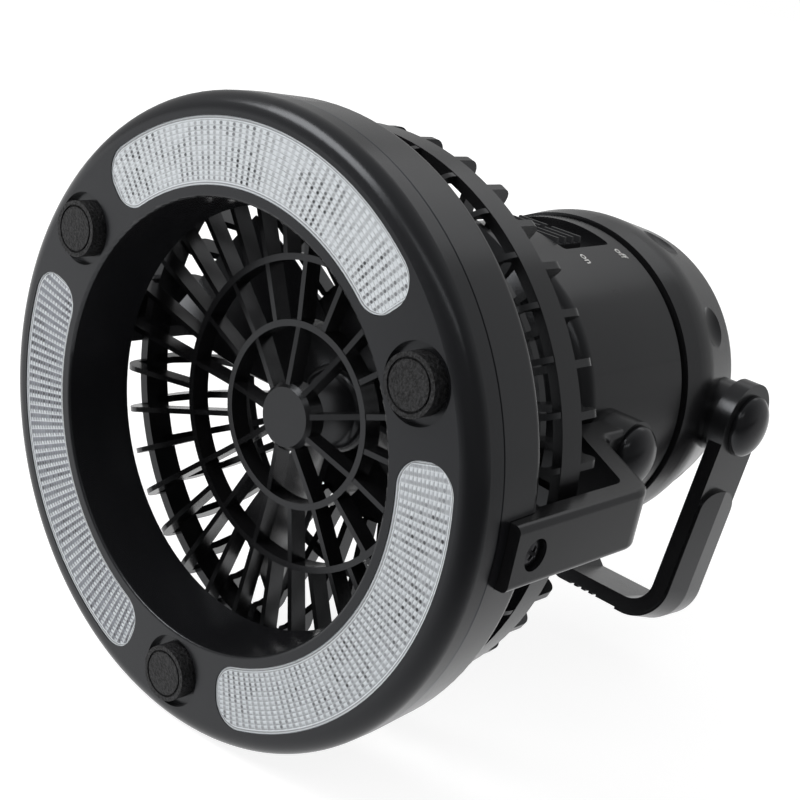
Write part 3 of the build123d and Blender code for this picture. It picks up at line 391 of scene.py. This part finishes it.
# %% [markdown]
# The face is one sheet of points in polar form. Its height is the sum of two parabolas, one
# across each rib and one across each row, which is what a ball-nosed cutter leaves in the mould.
# Each pillow gets a few points each way, so its bulge is real and catches the light in any view.

# %% Face of a lens
lens_front = 0.3 * MM
lens_rim = 0.45 * MM
pillow_depth = 0.22 * MM
rib_count, row_count = 52, 14
rib_steps, row_steps = 6, 5


def around(radius, angle, depth):
    """Points at (radius cos angle, face + depth, axis height + radius sin angle), one row each."""
    radius, angle, depth = np.broadcast_arrays(radius, angle, depth)
    spot = np.stack([radius * np.cos(angle), face_y + depth, axis_z + radius * np.sin(angle)], axis=-1)
    return spot.reshape(-1, 3)


def pillow(position):
    """0 on a cell's edge and 1 in its middle: 1 - (2 t - 1)^2 with t the fraction of position."""
    part = position - np.floor(position)
    return 1.0 - (2.0 * part - 1.0) ** 2


def lens_face(middle):
    """A face centred on middle degrees: its points, their rib and row counts, and how far inside they lie.

    Depth of the face = front + pillow depth * (1 - mean of the rib's and the row's parabola),
    with a flat rim.
    """
    angle = np.linspace(-lens_half_angle, lens_half_angle, rib_count * rib_steps + 1)[:, None]
    low, high = lens_limits(angle)
    radius = low + (high - low) * np.linspace(0.0, 1.0, row_count * row_steps + 1)[None, :]
    rib = (angle + lens_half_angle) / (2 * lens_half_angle) * rib_count + 0.0 * radius
    row = (radius - lens_inner) / (lens_outer - lens_inner) * row_count
    edge = np.minimum(np.minimum(radius - low, high - radius), (lens_half_angle - np.abs(angle)) * radius)
    height = np.where(edge < lens_rim, 1.0, (pillow(rib) + pillow(row)) / 2)
    points = around(radius, angle + math.radians(middle), lens_front + pillow_depth * (1.0 - height))
    return points, rib, row, edge


print("pillows", round(2 * lens_half_angle * lens_inner / rib_count / MM, 2), "mm wide at the inner row")

# %% [markdown]
# A moulding has a thickness, so the sheet is closed into a solid: a skirt goes down from its
# border, and the back is flat. The face's points are numbered row by row, so the border is the
# first row, the last column, the last row backwards and the first column backwards.

# %% Skirt and back of a lens
lens_back = 3.0 * MM


def grid_quads(rows, columns):
    """The four corners of each cell of a rows x columns sheet of points numbered row by row."""
    first = (np.arange(rows - 1)[:, None] * columns + np.arange(columns - 1)[None, :]).ravel()
    return np.stack([first, first + 1, first + columns + 1, first + columns], axis=1)


def lens_closing(rows, columns):
    """The sheet's border, the quads of the skirt and the back, and the back's two end faces.

    The points of the back are a copy of the border, numbered on from the face's last point. Each
    side quad joins two neighbours on the border to their copies, and each back quad crosses from
    the inner side to the outer one.
    """
    index = np.arange(rows * columns).reshape(rows, columns)
    border = np.concatenate([index[0, :], index[1:, -1], index[-1, -2::-1], index[-2:0:-1, 0]])
    below = rows * columns + np.arange(len(border))
    sides = np.stack([border, below, np.roll(below, -1), np.roll(border, -1)], axis=1)
    copy_of = np.zeros(rows * columns, dtype=int)
    copy_of[border] = below
    inner = copy_of[index[:, 0]]
    outer = copy_of[index[:, -1]]
    back = np.stack([inner[1:-2], inner[2:-1], outer[2:-1], outer[1:-2]], axis=1)
    first_end = np.concatenate([inner[:2], outer[1:2], copy_of[index[0, :0:-1]]])
    last_end = np.concatenate([inner[-2:-1], copy_of[index[-1]], outer[-2:-1]])
    return border, np.concatenate([sides, back]), [first_end.tolist(), last_end.tolist()]


# %% [markdown]
# One helper makes a mesh from points and faces. For the finish each lens keeps a UV map that
# counts ribs along U and rows along V, so that a cell's middle can be found, and two attributes:
# the distance from the outline, and how much of the tray behind that window lies in shade.

# %% The three lenses
def mesh_object(name, points, quads, closing, smooth=True):
    """A mesh object at the origin from a point array, a quad array and a list of closing faces."""
    mesh = bpy.data.meshes.new(name)
    mesh.from_pydata(points.tolist(), [], quads.tolist() + closing)
    mesh.polygons.foreach_set("use_smooth", np.full(len(mesh.polygons), smooth))
    mesh.update()
    shape = bpy.data.objects.new(name, mesh)
    bpy.context.scene.collection.objects.link(shape)
    print(name, len(points), "points,", len(quads), "quads,", len(closing), "closing faces")
    return shape


def lens_sheet(name, middle, tray_shadow):
    """One lens as a closed mesh: face, skirt and flat back, centred on middle degrees."""
    points, rib, row, edge = lens_face(middle)
    border, walls, ends = lens_closing(*rib.shape)
    skirt = points[border].copy()
    skirt[:, 1] = face_y + lens_back
    quads = np.concatenate([grid_quads(*rib.shape), walls])
    shape = mesh_object(name, np.concatenate([points, skirt]), quads, ends)
    cells = np.stack([rib.ravel(), row.ravel()], axis=1)
    cells = np.concatenate([cells, cells[border]]).astype(np.float32)
    corner = np.empty(len(shape.data.loops), dtype=np.int32)
    shape.data.loops.foreach_get("vertex_index", corner)
    shape.data.uv_layers.new(name="cells").data.foreach_set("uv", cells[corner].ravel())
    edge_mm = np.concatenate([edge.ravel() / MM, np.zeros(len(border))])
    for label, value in (("tray_shadow", np.full(len(cells), tray_shadow)), ("edge_mm", edge_mm)):
        layer = shape.data.attributes.new(label, "FLOAT", "POINT")
        layer.data.foreach_set("value", value.astype(np.float32))
    return shape


lenses = {
    "lens_upper": lens_sheet("upper_lens_prisms", 90, 0.10),
    "lens_left": lens_sheet("left_lens_prisms", 210, 0.95),
    "lens_right": lens_sheet("right_lens_prisms", 330, 0.42),
}

# %% [markdown]
# The moulding is clear, but every pillow bends the eye's line to another part of the pale tray
# behind it, so from outside it reads as silver, with a dark point where a pillow's middle lets the
# eye straight through. Real glass over a real tray would need very many light paths to show this,
# so the finish paints that light and shade into the lens's colour cell by cell: painted shade in
# the dark points and grey lines, painted highlights in the glints and bright rib lines. First it
# finds where in its cell a point lies, from -0.5 to 0.5 each way, and gives each cell a random
# number of its own.

# %% Cells of the lens finish
lens_finish = finish(
    "lens_prisms",
    (0.80, 0.82, 0.84),
    0.14,
    spread=0.06,
    grain_depth=0.0,
    strength=0.0,
    **{"Transmission Weight": 0.15, "IOR": 1.49, "Specular IOR Level": 0.6},
)
lens_tree = lens_finish.node_tree
cell_place = put(lens_tree, "ShaderNodeUVMap", uv_map="cells").outputs["UV"]
cell_count = put(lens_tree, "ShaderNodeSeparateXYZ", {0: cell_place}).outputs
cell_floor = put(lens_tree, "ShaderNodeVectorMath", {0: cell_place}, operation="FLOOR").outputs["Vector"]
cell_noise = put(lens_tree, "ShaderNodeTexWhiteNoise", {"Vector": cell_floor}, noise_dimensions="2D")
cell_random = cell_noise.outputs["Value"]


def lens_math(operation, *inputs):
    """The result of a Math node in the lens finish."""
    return math_node(lens_tree, operation, *inputs)


def lens_ramp(value, low, high, at_low, at_high):
    """A smooth step in the lens finish."""
    return ramp(lens_tree, value, low, high, at_low, at_high)


across_rib = lens_math("SUBTRACT", lens_math("FRACT", cell_count["X"]), 0.5)
across_row = lens_math("SUBTRACT", lens_math("FRACT", cell_count["Y"]), 0.5)
print(lens_finish.name, "has", rib_count, "by", row_count, "cells")

# %% [markdown]
# A pillow shows four painted marks: a dark point of painted shade a little to one side, a painted
# glint on its other shoulder, a painted highlight along each rib and a grey line of painted shade
# between two rows. The point and the glint are round, so each is a smooth step of the distance
# from its centre, in millimetres. The size of a cell is the one at the window's middle radius,
# rounded.

# %% Marks in a cell
cell_width_mm, cell_height_mm = 1.9, 1.1


def spot_mask(rib_centre, row_centre, inner, outer):
    """1 within inner mm and 0 beyond outer mm of a point given as a share of the cell from its middle."""
    along = lens_math("MULTIPLY", lens_math("SUBTRACT", across_rib, rib_centre), cell_width_mm)
    out = lens_math("MULTIPLY", lens_math("SUBTRACT", across_row, row_centre), cell_height_mm)
    squares = lens_math("ADD", lens_math("MULTIPLY", along, along), lens_math("MULTIPLY", out, out))
    return lens_ramp(lens_math("SQRT", squares), inner, outer, 1.0, 0.0)


# Painted shade in the dark point, a painted highlight in the glint.
painted_dark_point = spot_mask(-0.14, 0.0, 0.26, 0.55)
painted_glint = spot_mask(0.30, -0.10, 0.22, 0.56)
# A painted highlight along each rib and painted shade between the rows.
painted_rib_highlight = lens_ramp(lens_math("ABSOLUTE", across_rib), 0.38, 0.46, 0.0, 1.0)
painted_row_shade_mask = lens_ramp(lens_math("ABSOLUTE", across_row), 0.34, 0.48, 0.0, 1.0)
print("marks in a cell of", cell_width_mm, "by", cell_height_mm, "mm")

# %% [markdown]
# No two pillows sit quite alike over the lamps, so the points fade in and out in patches, and
# each cell has its own strength. Two things follow the outline instead: the cells' marks begin
# a little inside it, where the tray begins, and a thin grey line runs where the flat rim ends.

# %% Where the lens is shaded
patch_noise = put(
    lens_tree,
    "ShaderNodeTexNoise",
    {"Vector": object_place(lens_tree), "Scale": 75.0, "Detail": 2.0, "Roughness": 0.5},
)
faintest_patch, weakest_cell = 0.35, 0.4
rim_line_strength, row_line_strength = 0.6, 0.5
patches = lens_ramp(patch_noise.outputs["Fac"], 0.36, 0.60, faintest_patch, 1.0)
cell_strength = lens_math("MULTIPLY_ADD", cell_random, 1.0 - weakest_cell, weakest_cell)
edge_mark = put(lens_tree, "ShaderNodeAttribute", attribute_name="edge_mm").outputs["Fac"]
in_tray = lens_ramp(edge_mark, 0.85, 1.0, 0.0, 1.0)
rim_begins = lens_ramp(edge_mark, 0.35, 0.45, 0.0, 1.0)
rim_ends = lens_ramp(edge_mark, 0.65, 0.75, 1.0, 0.0)
rim_grey = lens_math("MULTIPLY", lens_math("MULTIPLY", rim_begins, rim_ends), rim_line_strength)
# The points, the row lines and the rim line together are the lens's painted shade.
painted_point_shade = lens_math("MULTIPLY", lens_math("MULTIPLY", painted_dark_point, patches), cell_strength)
painted_row_shade = lens_math("MULTIPLY", lens_math("MULTIPLY", painted_row_shade_mask, cell_strength), row_line_strength)
painted_cell_shade = lens_math("MULTIPLY", lens_math("MAXIMUM", painted_point_shade, painted_row_shade), in_tray)
painted_lens_shade = lens_math("MAXIMUM", painted_cell_shade, rim_grey)
print("marks fade to", faintest_patch, "in patches and to", weakest_cell, "by cell")

# %% [markdown]
# The tray is a trough, so how much light gets into it depends on where its window lies: the most
# at the top and the least at the lower left. Each window has its share of shaded silver, which
# only its bright ribs and glints break. The last mix lays the dark marks over the silver. The
# lens then replaces the CAD's plain one and rides on the ring.

# %% Colours of the lens
# The shaded silver and the near black are painted shade; the glints and rib lines are painted highlights.
lens_bright_silver = (0.92, 0.965, 1.0, 1.0)
lens_shaded_silver = (0.31, 0.33, 0.375, 1.0)
painted_shade_black = (0.02, 0.02, 0.024, 1.0)
weakest_glint, rib_line_strength = 0.5, 0.8
# Painted highlights: the glints, each with its own strength, and the bright rib lines.
glint_strength = lens_math("MULTIPLY_ADD", cell_random, 1.0 - weakest_glint, weakest_glint)
painted_glint_light = lens_math("MULTIPLY", painted_glint, glint_strength)
painted_highlight = lens_math("MAXIMUM", lens_math("MULTIPLY", painted_rib_highlight, rib_line_strength), painted_glint_light)
tray_shadow = put(lens_tree, "ShaderNodeAttribute", attribute_name="tray_shadow").outputs["Fac"]
shaded_share = lens_math("MULTIPLY", tray_shadow, lens_math("SUBTRACT", 1.0, painted_highlight))
shaded_share = lens_math("MULTIPLY", shaded_share, in_tray)
lens_silver = mix_colour(lens_tree, shaded_share, lens_bright_silver, lens_shaded_silver)
lens_colour = mix_colour(lens_tree, painted_lens_shade, lens_silver, painted_shade_black)
lens_tree.links.new(lens_colour, lens_tree.nodes["Principled BSDF"].inputs["Base Color"])
for name, shape in lenses.items():
    shape.data.materials.append(lens_finish)
    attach(shape, "light_ring")
    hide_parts(name)
print("lens finish on", len(lenses), "lenses")

# %% [markdown]
# ## Screws in the arms
# One cross-slotted screw holds the front of each arm to the ring, sunk in a round counterbore.
# The head is a shallow dome with two crossed slots that get deeper towards the middle. It is a
# surface over (radius, angle): the height of the dome, less the depth of the nearer slot where
# the point lies within half a slot's width of its centre line. Cutting the slots with a boolean
# would leave thin faces, and this way the dome and the slots are one smooth formula.

# %% Sizes of a screw
screw_low, screw_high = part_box("arm_screws")
screw_y = (screw_low[1] + screw_high[1]) / 2
screw_z = (screw_low[2] + screw_high[2]) / 2
screw_top = screw_high[0]
head_radius = (screw_high[2] - screw_low[2]) / 2
head_height = 1.6 * MM
shank_radius = 1.5 * MM
shank_length = 6.0 * MM
dome_drop = 0.45 * MM
slot_half_width, slot_reach, slot_depth = 0.42 * MM, 1.75 * MM, 1.1 * MM
slot_wall = 0.12 * MM
slot_turn = 0.5
slot_power = 0.6
dome_rings, screw_columns = 30, 96
print("screw heads", round(2 * head_radius / MM, 2), "mm across at x = +/-", round(screw_top, 5))

# %% Surface of a screw
def screw_surface(side):
    """Points of one screw, ring by ring from the dome's middle to the shank's end, and then its two poles.

    Drop of the dome = dome drop * (radius / head radius)^2, plus slot depth * (1 - radius /
    slot reach)^slot power inside a slot, whose walls slope over the width slot_wall. Three rings
    more are the foot of the head's wall and the two ends of the shank. The screw of the other
    side is turned half round.
    """
    angle = np.linspace(0.0, 2 * np.pi, screw_columns, endpoint=False)[None, :]
    radius = np.linspace(1 / dome_rings, 1.0, dome_rings)[:, None] * head_radius
    turned = angle + slot_turn
    across = np.minimum(np.abs(radius * np.sin(turned)), np.abs(radius * np.cos(turned)))
    inside = np.clip((slot_half_width - across) / slot_wall + 0.5, 0.0, 1.0)
    slot = slot_depth * inside * np.clip(1.0 - radius / slot_reach, 0.0, 1.0) ** slot_power
    drop = dome_drop * (radius / head_radius) ** 2 + slot
    wall_radius = np.array([[head_radius], [shank_radius], [shank_radius]])
    wall_drop = np.array([[head_height], [head_height], [shank_length]])
    radius = np.concatenate([radius + 0 * angle, wall_radius + 0 * angle])
    drop = np.concatenate([drop, wall_drop + 0 * angle])
    x = side * (screw_top - drop)
    y = screw_y + side * radius * np.cos(angle)
    z = screw_z + radius * np.sin(angle)
    poles = [[side * (screw_top - depth), screw_y, screw_z] for depth in (slot_depth, shank_length)]
    return np.concatenate([np.stack([x, y, z], axis=-1).reshape(-1, 3), poles])


def screw_faces(rings):
    """The quads between neighbouring rings, and the triangles from each pole to its own ring."""
    ring = np.arange(rings * screw_columns).reshape(rings, screw_columns)
    turned = np.roll(ring, -1, axis=1)
    quads = np.stack([ring[:-1], ring[1:], turned[1:], turned[:-1]], axis=-1).reshape(-1, 4)
    dome_pole = np.full(screw_columns, rings * screw_columns)
    dome_cap = np.stack([dome_pole, ring[0], turned[0]], axis=1)
    end_cap = np.stack([dome_pole + 1, turned[-1], ring[-1]], axis=1)
    return quads, np.concatenate([dome_cap, end_cap])


# %% The two screws
right_screw, left_screw = screw_surface(1), screw_surface(-1)
screw_quads, screw_caps = screw_faces((len(right_screw) - 2) // screw_columns)
arm_screws = mesh_object(
    "cross_slot_screws",
    np.concatenate([right_screw, left_screw]),
    np.concatenate([screw_quads, screw_quads + len(right_screw)]),
    np.concatenate([screw_caps, screw_caps + len(right_screw)]).tolist(),
    smooth=False,
)
arm_screws.data.materials.append(steel)
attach(arm_screws, "light_ring")
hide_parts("arm_screws")

# %% [markdown]
# ## Words beside the switches
# Pad printing puts a thin film of white ink on the barrel: "on" at the front end of the knobs'
# travel and "off" at the rear end. Each word starts as flat text, which Blender makes a mesh of.
# Its baseline then runs round the barrel and the tops of its letters point rearwards, so a point
# (x, y) of the flat word goes to the angle start - x / radius and to the depth y further back.

# %% Ink on the barrel
barrel_low, barrel_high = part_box("barrel")
barrel_front, barrel_rear = 87.0 * MM, 129.8 * MM
barrel_radius_front, barrel_radius_rear = 43.6 * MM, 44.5 * MM
barrel_slope = (barrel_radius_rear - barrel_radius_front) / (barrel_rear - barrel_front)
ink_lift = 0.06 * MM
word_size = 3.7 * MM
stroke_growth = 0.02
ink = finish("white_ink", (0.82, 0.82, 0.80), 0.45, spread=0.08, grain_scale=4000.0, grain_depth=0.02 * MM)
barrel_ends = [round(place[1] - face_y, 4) for place in (barrel_low, barrel_high)]
print("barrel at depths", barrel_ends, "and its cone at", [barrel_front, barrel_rear])


def printed_word(word, start_angle, depth):
    """The word as a film on the barrel, its first letter at start_angle and its baseline at depth."""
    curve = bpy.data.curves.new(word + "_text", "FONT")
    curve.body = word
    curve.size = word_size
    curve.offset = word_size * stroke_growth
    flat = bpy.data.objects.new(word + "_text", curve)
    bpy.context.scene.collection.objects.link(flat)
    mesh = bpy.data.meshes.new_from_object(flat.evaluated_get(bpy.context.evaluated_depsgraph_get()))
    bpy.data.objects.remove(flat)
    spot = np.empty(len(mesh.vertices) * 3)
    mesh.vertices.foreach_get("co", spot)
    spot = spot.reshape(-1, 3)
    back = depth + spot[:, 1]
    radius = barrel_radius_front + barrel_slope * (back - barrel_front) + ink_lift
    mesh.vertices.foreach_set("co", around(radius, start_angle - spot[:, 0] / radius, back).ravel())
    mesh.update()
    film = bpy.data.objects.new("word_" + word, mesh)
    bpy.context.scene.collection.objects.link(film)
    film.data.materials.clear()
    film.data.materials.append(ink)
    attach(film, "head")
    print(film.name, len(mesh.vertices), "points")


printed_word("on", math.radians(68.6), 106.6 * MM)
printed_word("off", math.radians(69.4), 123.7 * MM)

# %% [markdown]
# ## Floor
# The fan stands on a wide sheet of pale studio paper. To the eye it is nearly white: a glow that
# grows to full white away from the fan, with some matt grey paint over it, so that only the
# paint's share darkens where the fan keeps the lamps off, and the shadow stays faint. Light that
# bounces meets plain pale paint. A gloss mirrors a glow that is dimmer to the right and the
# front, as if the paper ended there and the darker room began.

# %% What sees the floor
white = (1.0, 1.0, 1.0, 1.0)
front_right = Vector((0.75, -0.66, 0.0))


def grey(level):
    """An opaque grey of that level."""
    return (level, level, level, 1.0)


def seen_directly(tree):
    """1 for rays from the eye, from a gloss or through glass, and 0 for the rays that light the fan."""
    path = put(tree, "ShaderNodeLightPath").outputs
    eye_or_gloss = math_node(tree, "MAXIMUM", path["Is Camera Ray"], path["Is Glossy Ray"])
    return math_node(tree, "MAXIMUM", eye_or_gloss, path["Is Transmission Ray"])


def reach_along(tree, place, direction):
    """How far a place lies along a direction: their dot product."""
    node = put(tree, "ShaderNodeVectorMath", {0: place, 1: direction}, operation="DOT_PRODUCT")
    return node.outputs["Value"]


def mix_shader(tree, factor, at_zero, at_one):
    """The shader at_zero where factor is 0 and at_one where it is 1."""
    return put(tree, "ShaderNodeMixShader", {0: factor, 1: at_zero, 2: at_one}).outputs[0]


# %% Floor
floor_reach = 6.0
glow_from, glow_full, glow_near = 0.15, 0.80, 0.86
film_grey, paint_grey = 0.42, 0.86
right_full, right_end, right_level = -0.02, 0.25, 0.42
front_full, front_end, front_level = 0.03, 0.32, 0.22
floor_corners = [(-1, -1), (1, -1), (1, 1), (-1, 1)]
floor_mesh = bpy.data.meshes.new("floor")
floor_points = [(floor_reach * x, floor_reach * y, 0.0) for x, y in floor_corners]
floor_mesh.from_pydata(floor_points, [], [(0, 1, 2, 3)])
floor = bpy.data.objects.new("floor", floor_mesh)
bpy.context.scene.collection.objects.link(floor)
floor_finish = bpy.data.materials.new("pale_floor")
floor_finish.use_nodes = True
floor_tree = floor_finish.node_tree
floor_tree.nodes.clear()
floor_place = object_place(floor_tree)
floor_far = put(floor_tree, "ShaderNodeVectorMath", {0: floor_place}, operation="LENGTH").outputs["Value"]
floor_fade = ramp(floor_tree, floor_far, glow_from, glow_full, glow_near, 1.0, kind="LINEAR")
floor_glow = put(floor_tree, "ShaderNodeEmission", {"Color": white, "Strength": floor_fade}).outputs[0]
floor_film = put(floor_tree, "ShaderNodeBsdfDiffuse", {"Color": grey(film_grey)}).outputs[0]
floor_seen = put(floor_tree, "ShaderNodeAddShader", {0: floor_film, 1: floor_glow}).outputs[0]
floor_paint = put(floor_tree, "ShaderNodeBsdfDiffuse", {"Color": grey(paint_grey)}).outputs[0]
floor_x = put(floor_tree, "ShaderNodeSeparateXYZ", {0: floor_place}).outputs["X"]
floor_right = ramp(floor_tree, floor_x, right_end, right_full, right_level, 1.0)
floor_ahead = reach_along(floor_tree, floor_place, front_right)
floor_front = ramp(floor_tree, floor_ahead, front_full, front_end, 1.0, front_level)
floor_dim = math_node(floor_tree, "MULTIPLY", floor_right, floor_front)
floor_mirrored = put(floor_tree, "ShaderNodeEmission", {"Color": white, "Strength": floor_dim}).outputs[0]
floor_lit = mix_shader(floor_tree, seen_directly(floor_tree), floor_paint, floor_seen)
floor_is_gloss = put(floor_tree, "ShaderNodeLightPath").outputs["Is Glossy Ray"]
floor_all = mix_shader(floor_tree, floor_is_gloss, floor_lit, floor_mirrored)
put(floor_tree, "ShaderNodeOutputMaterial", {"Surface": floor_all})
floor_mesh.materials.append(floor_finish)
print("floor", 2 * floor_reach, "m square")

# %% [markdown]
# ## Room
# The room is white to the eye. The fan is lit by a dimmer, even share of it, which fills the
# shadows. What the gloss mirrors is dimmest at the front right and three times as bright at the
# rear left, as a room is with its windows on one side, and that shapes the black case.

# %% White room
gloss_at_front_right, gloss_at_rear_left = 0.15, 0.46
fill_light = 0.38
world = bpy.data.worlds.new("white_room")
bpy.context.scene.world = world
world.use_nodes = True
world_tree = world.node_tree
world_tree.nodes.clear()
room_direction = put(world_tree, "ShaderNodeTexCoord").outputs["Generated"]
room_rear = reach_along(world_tree, room_direction, -front_right)
room_shade = ramp(world_tree, room_rear, -0.8, 0.2, gloss_at_front_right, gloss_at_rear_left)
room_seen = put(world_tree, "ShaderNodeBackground", {"Color": white, "Strength": 1.0}).outputs[0]
room_gloss = put(world_tree, "ShaderNodeBackground", {"Color": white, "Strength": room_shade}).outputs[0]
room_light = put(world_tree, "ShaderNodeBackground", {"Color": white, "Strength": fill_light}).outputs[0]
room_near = mix_shader(world_tree, seen_directly(world_tree), room_light, room_gloss)
room_is_eye = put(world_tree, "ShaderNodeLightPath").outputs["Is Camera Ray"]
room_all = mix_shader(world_tree, room_is_eye, room_near, room_seen)
put(world_tree, "ShaderNodeOutputWorld", {"Surface": room_all})
print("room with", len(world_tree.nodes), "nodes")

# %% [markdown]
# ## Soft boxes
# Three area lamps stand in for the soft boxes of a product table. The key box is large and high
# on the front left, and gives the soft shade down the ring and the barrel. A long thin strip,
# high on the front right, draws the lines along the arm and the hook, and a weak box behind keeps
# the barrel's rear edge clear.

# %% Soft boxes
fan_middle = (0.0, 0.0, axis_z)


def soft_box(name, place, width, height, power):
    """A rectangular area lamp at place that faces the middle of the fan."""
    data = bpy.data.lights.new(name, "AREA")
    data.shape = "RECTANGLE"
    data.size = width
    data.size_y = height
    data.energy = power
    lamp = bpy.data.objects.new(name, data)
    bpy.context.scene.collection.objects.link(lamp)
    aim = (Vector(fan_middle) - Vector(place)).to_track_quat("-Z", "Y").to_matrix().to_4x4()
    lamp.matrix_world = Matrix.Translation(place) @ aim
    print(name, width, "by", height, "m,", power, "W")


soft_box("key_box", (-0.50, -0.68, 0.86), 0.7, 0.5, 6.4)
soft_box("strip_box", (0.42, -0.68, 0.80), 0.9, 0.10, 0.6)
soft_box("back_box", (-0.1, 0.75, 0.8), 0.6, 0.3, 0.3)

# %% [markdown]
# ## Camera
# The camera stands to the right of the ring's face and above it, about 0.4 m from the middle of
# the fan. It looks 18 degrees down and is turned 12 degrees about its own line of sight, with a
# lens somewhat longer than normal. Its three directions are given as vectors, which say where
# the right, the top and the middle of the picture lie.

# %% Camera
camera_data = bpy.data.cameras.new("camera")
camera_data.lens = 67.5
camera_data.sensor_width = 36.0
camera = bpy.data.objects.new("camera", camera_data)
bpy.context.scene.collection.objects.link(camera)
camera_place = Vector((0.223896, -0.306268, 0.195498))
right = Vector((0.7342, 0.65014, 0.19564))
up = Vector((-0.35177, 0.11781, 0.92864))
forward = Vector((-0.5807, 0.75063, -0.31519))
turn = Matrix((right, up, -forward)).transposed().to_4x4()
camera.matrix_world = Matrix.Translation(camera_place) @ turn
bpy.context.scene.camera = camera
bpy.context.scene.view_settings.view_transform = "Standard"
print("camera", round((camera_place - Vector(fan_middle)).length, 3), "m from the middle of the fan")
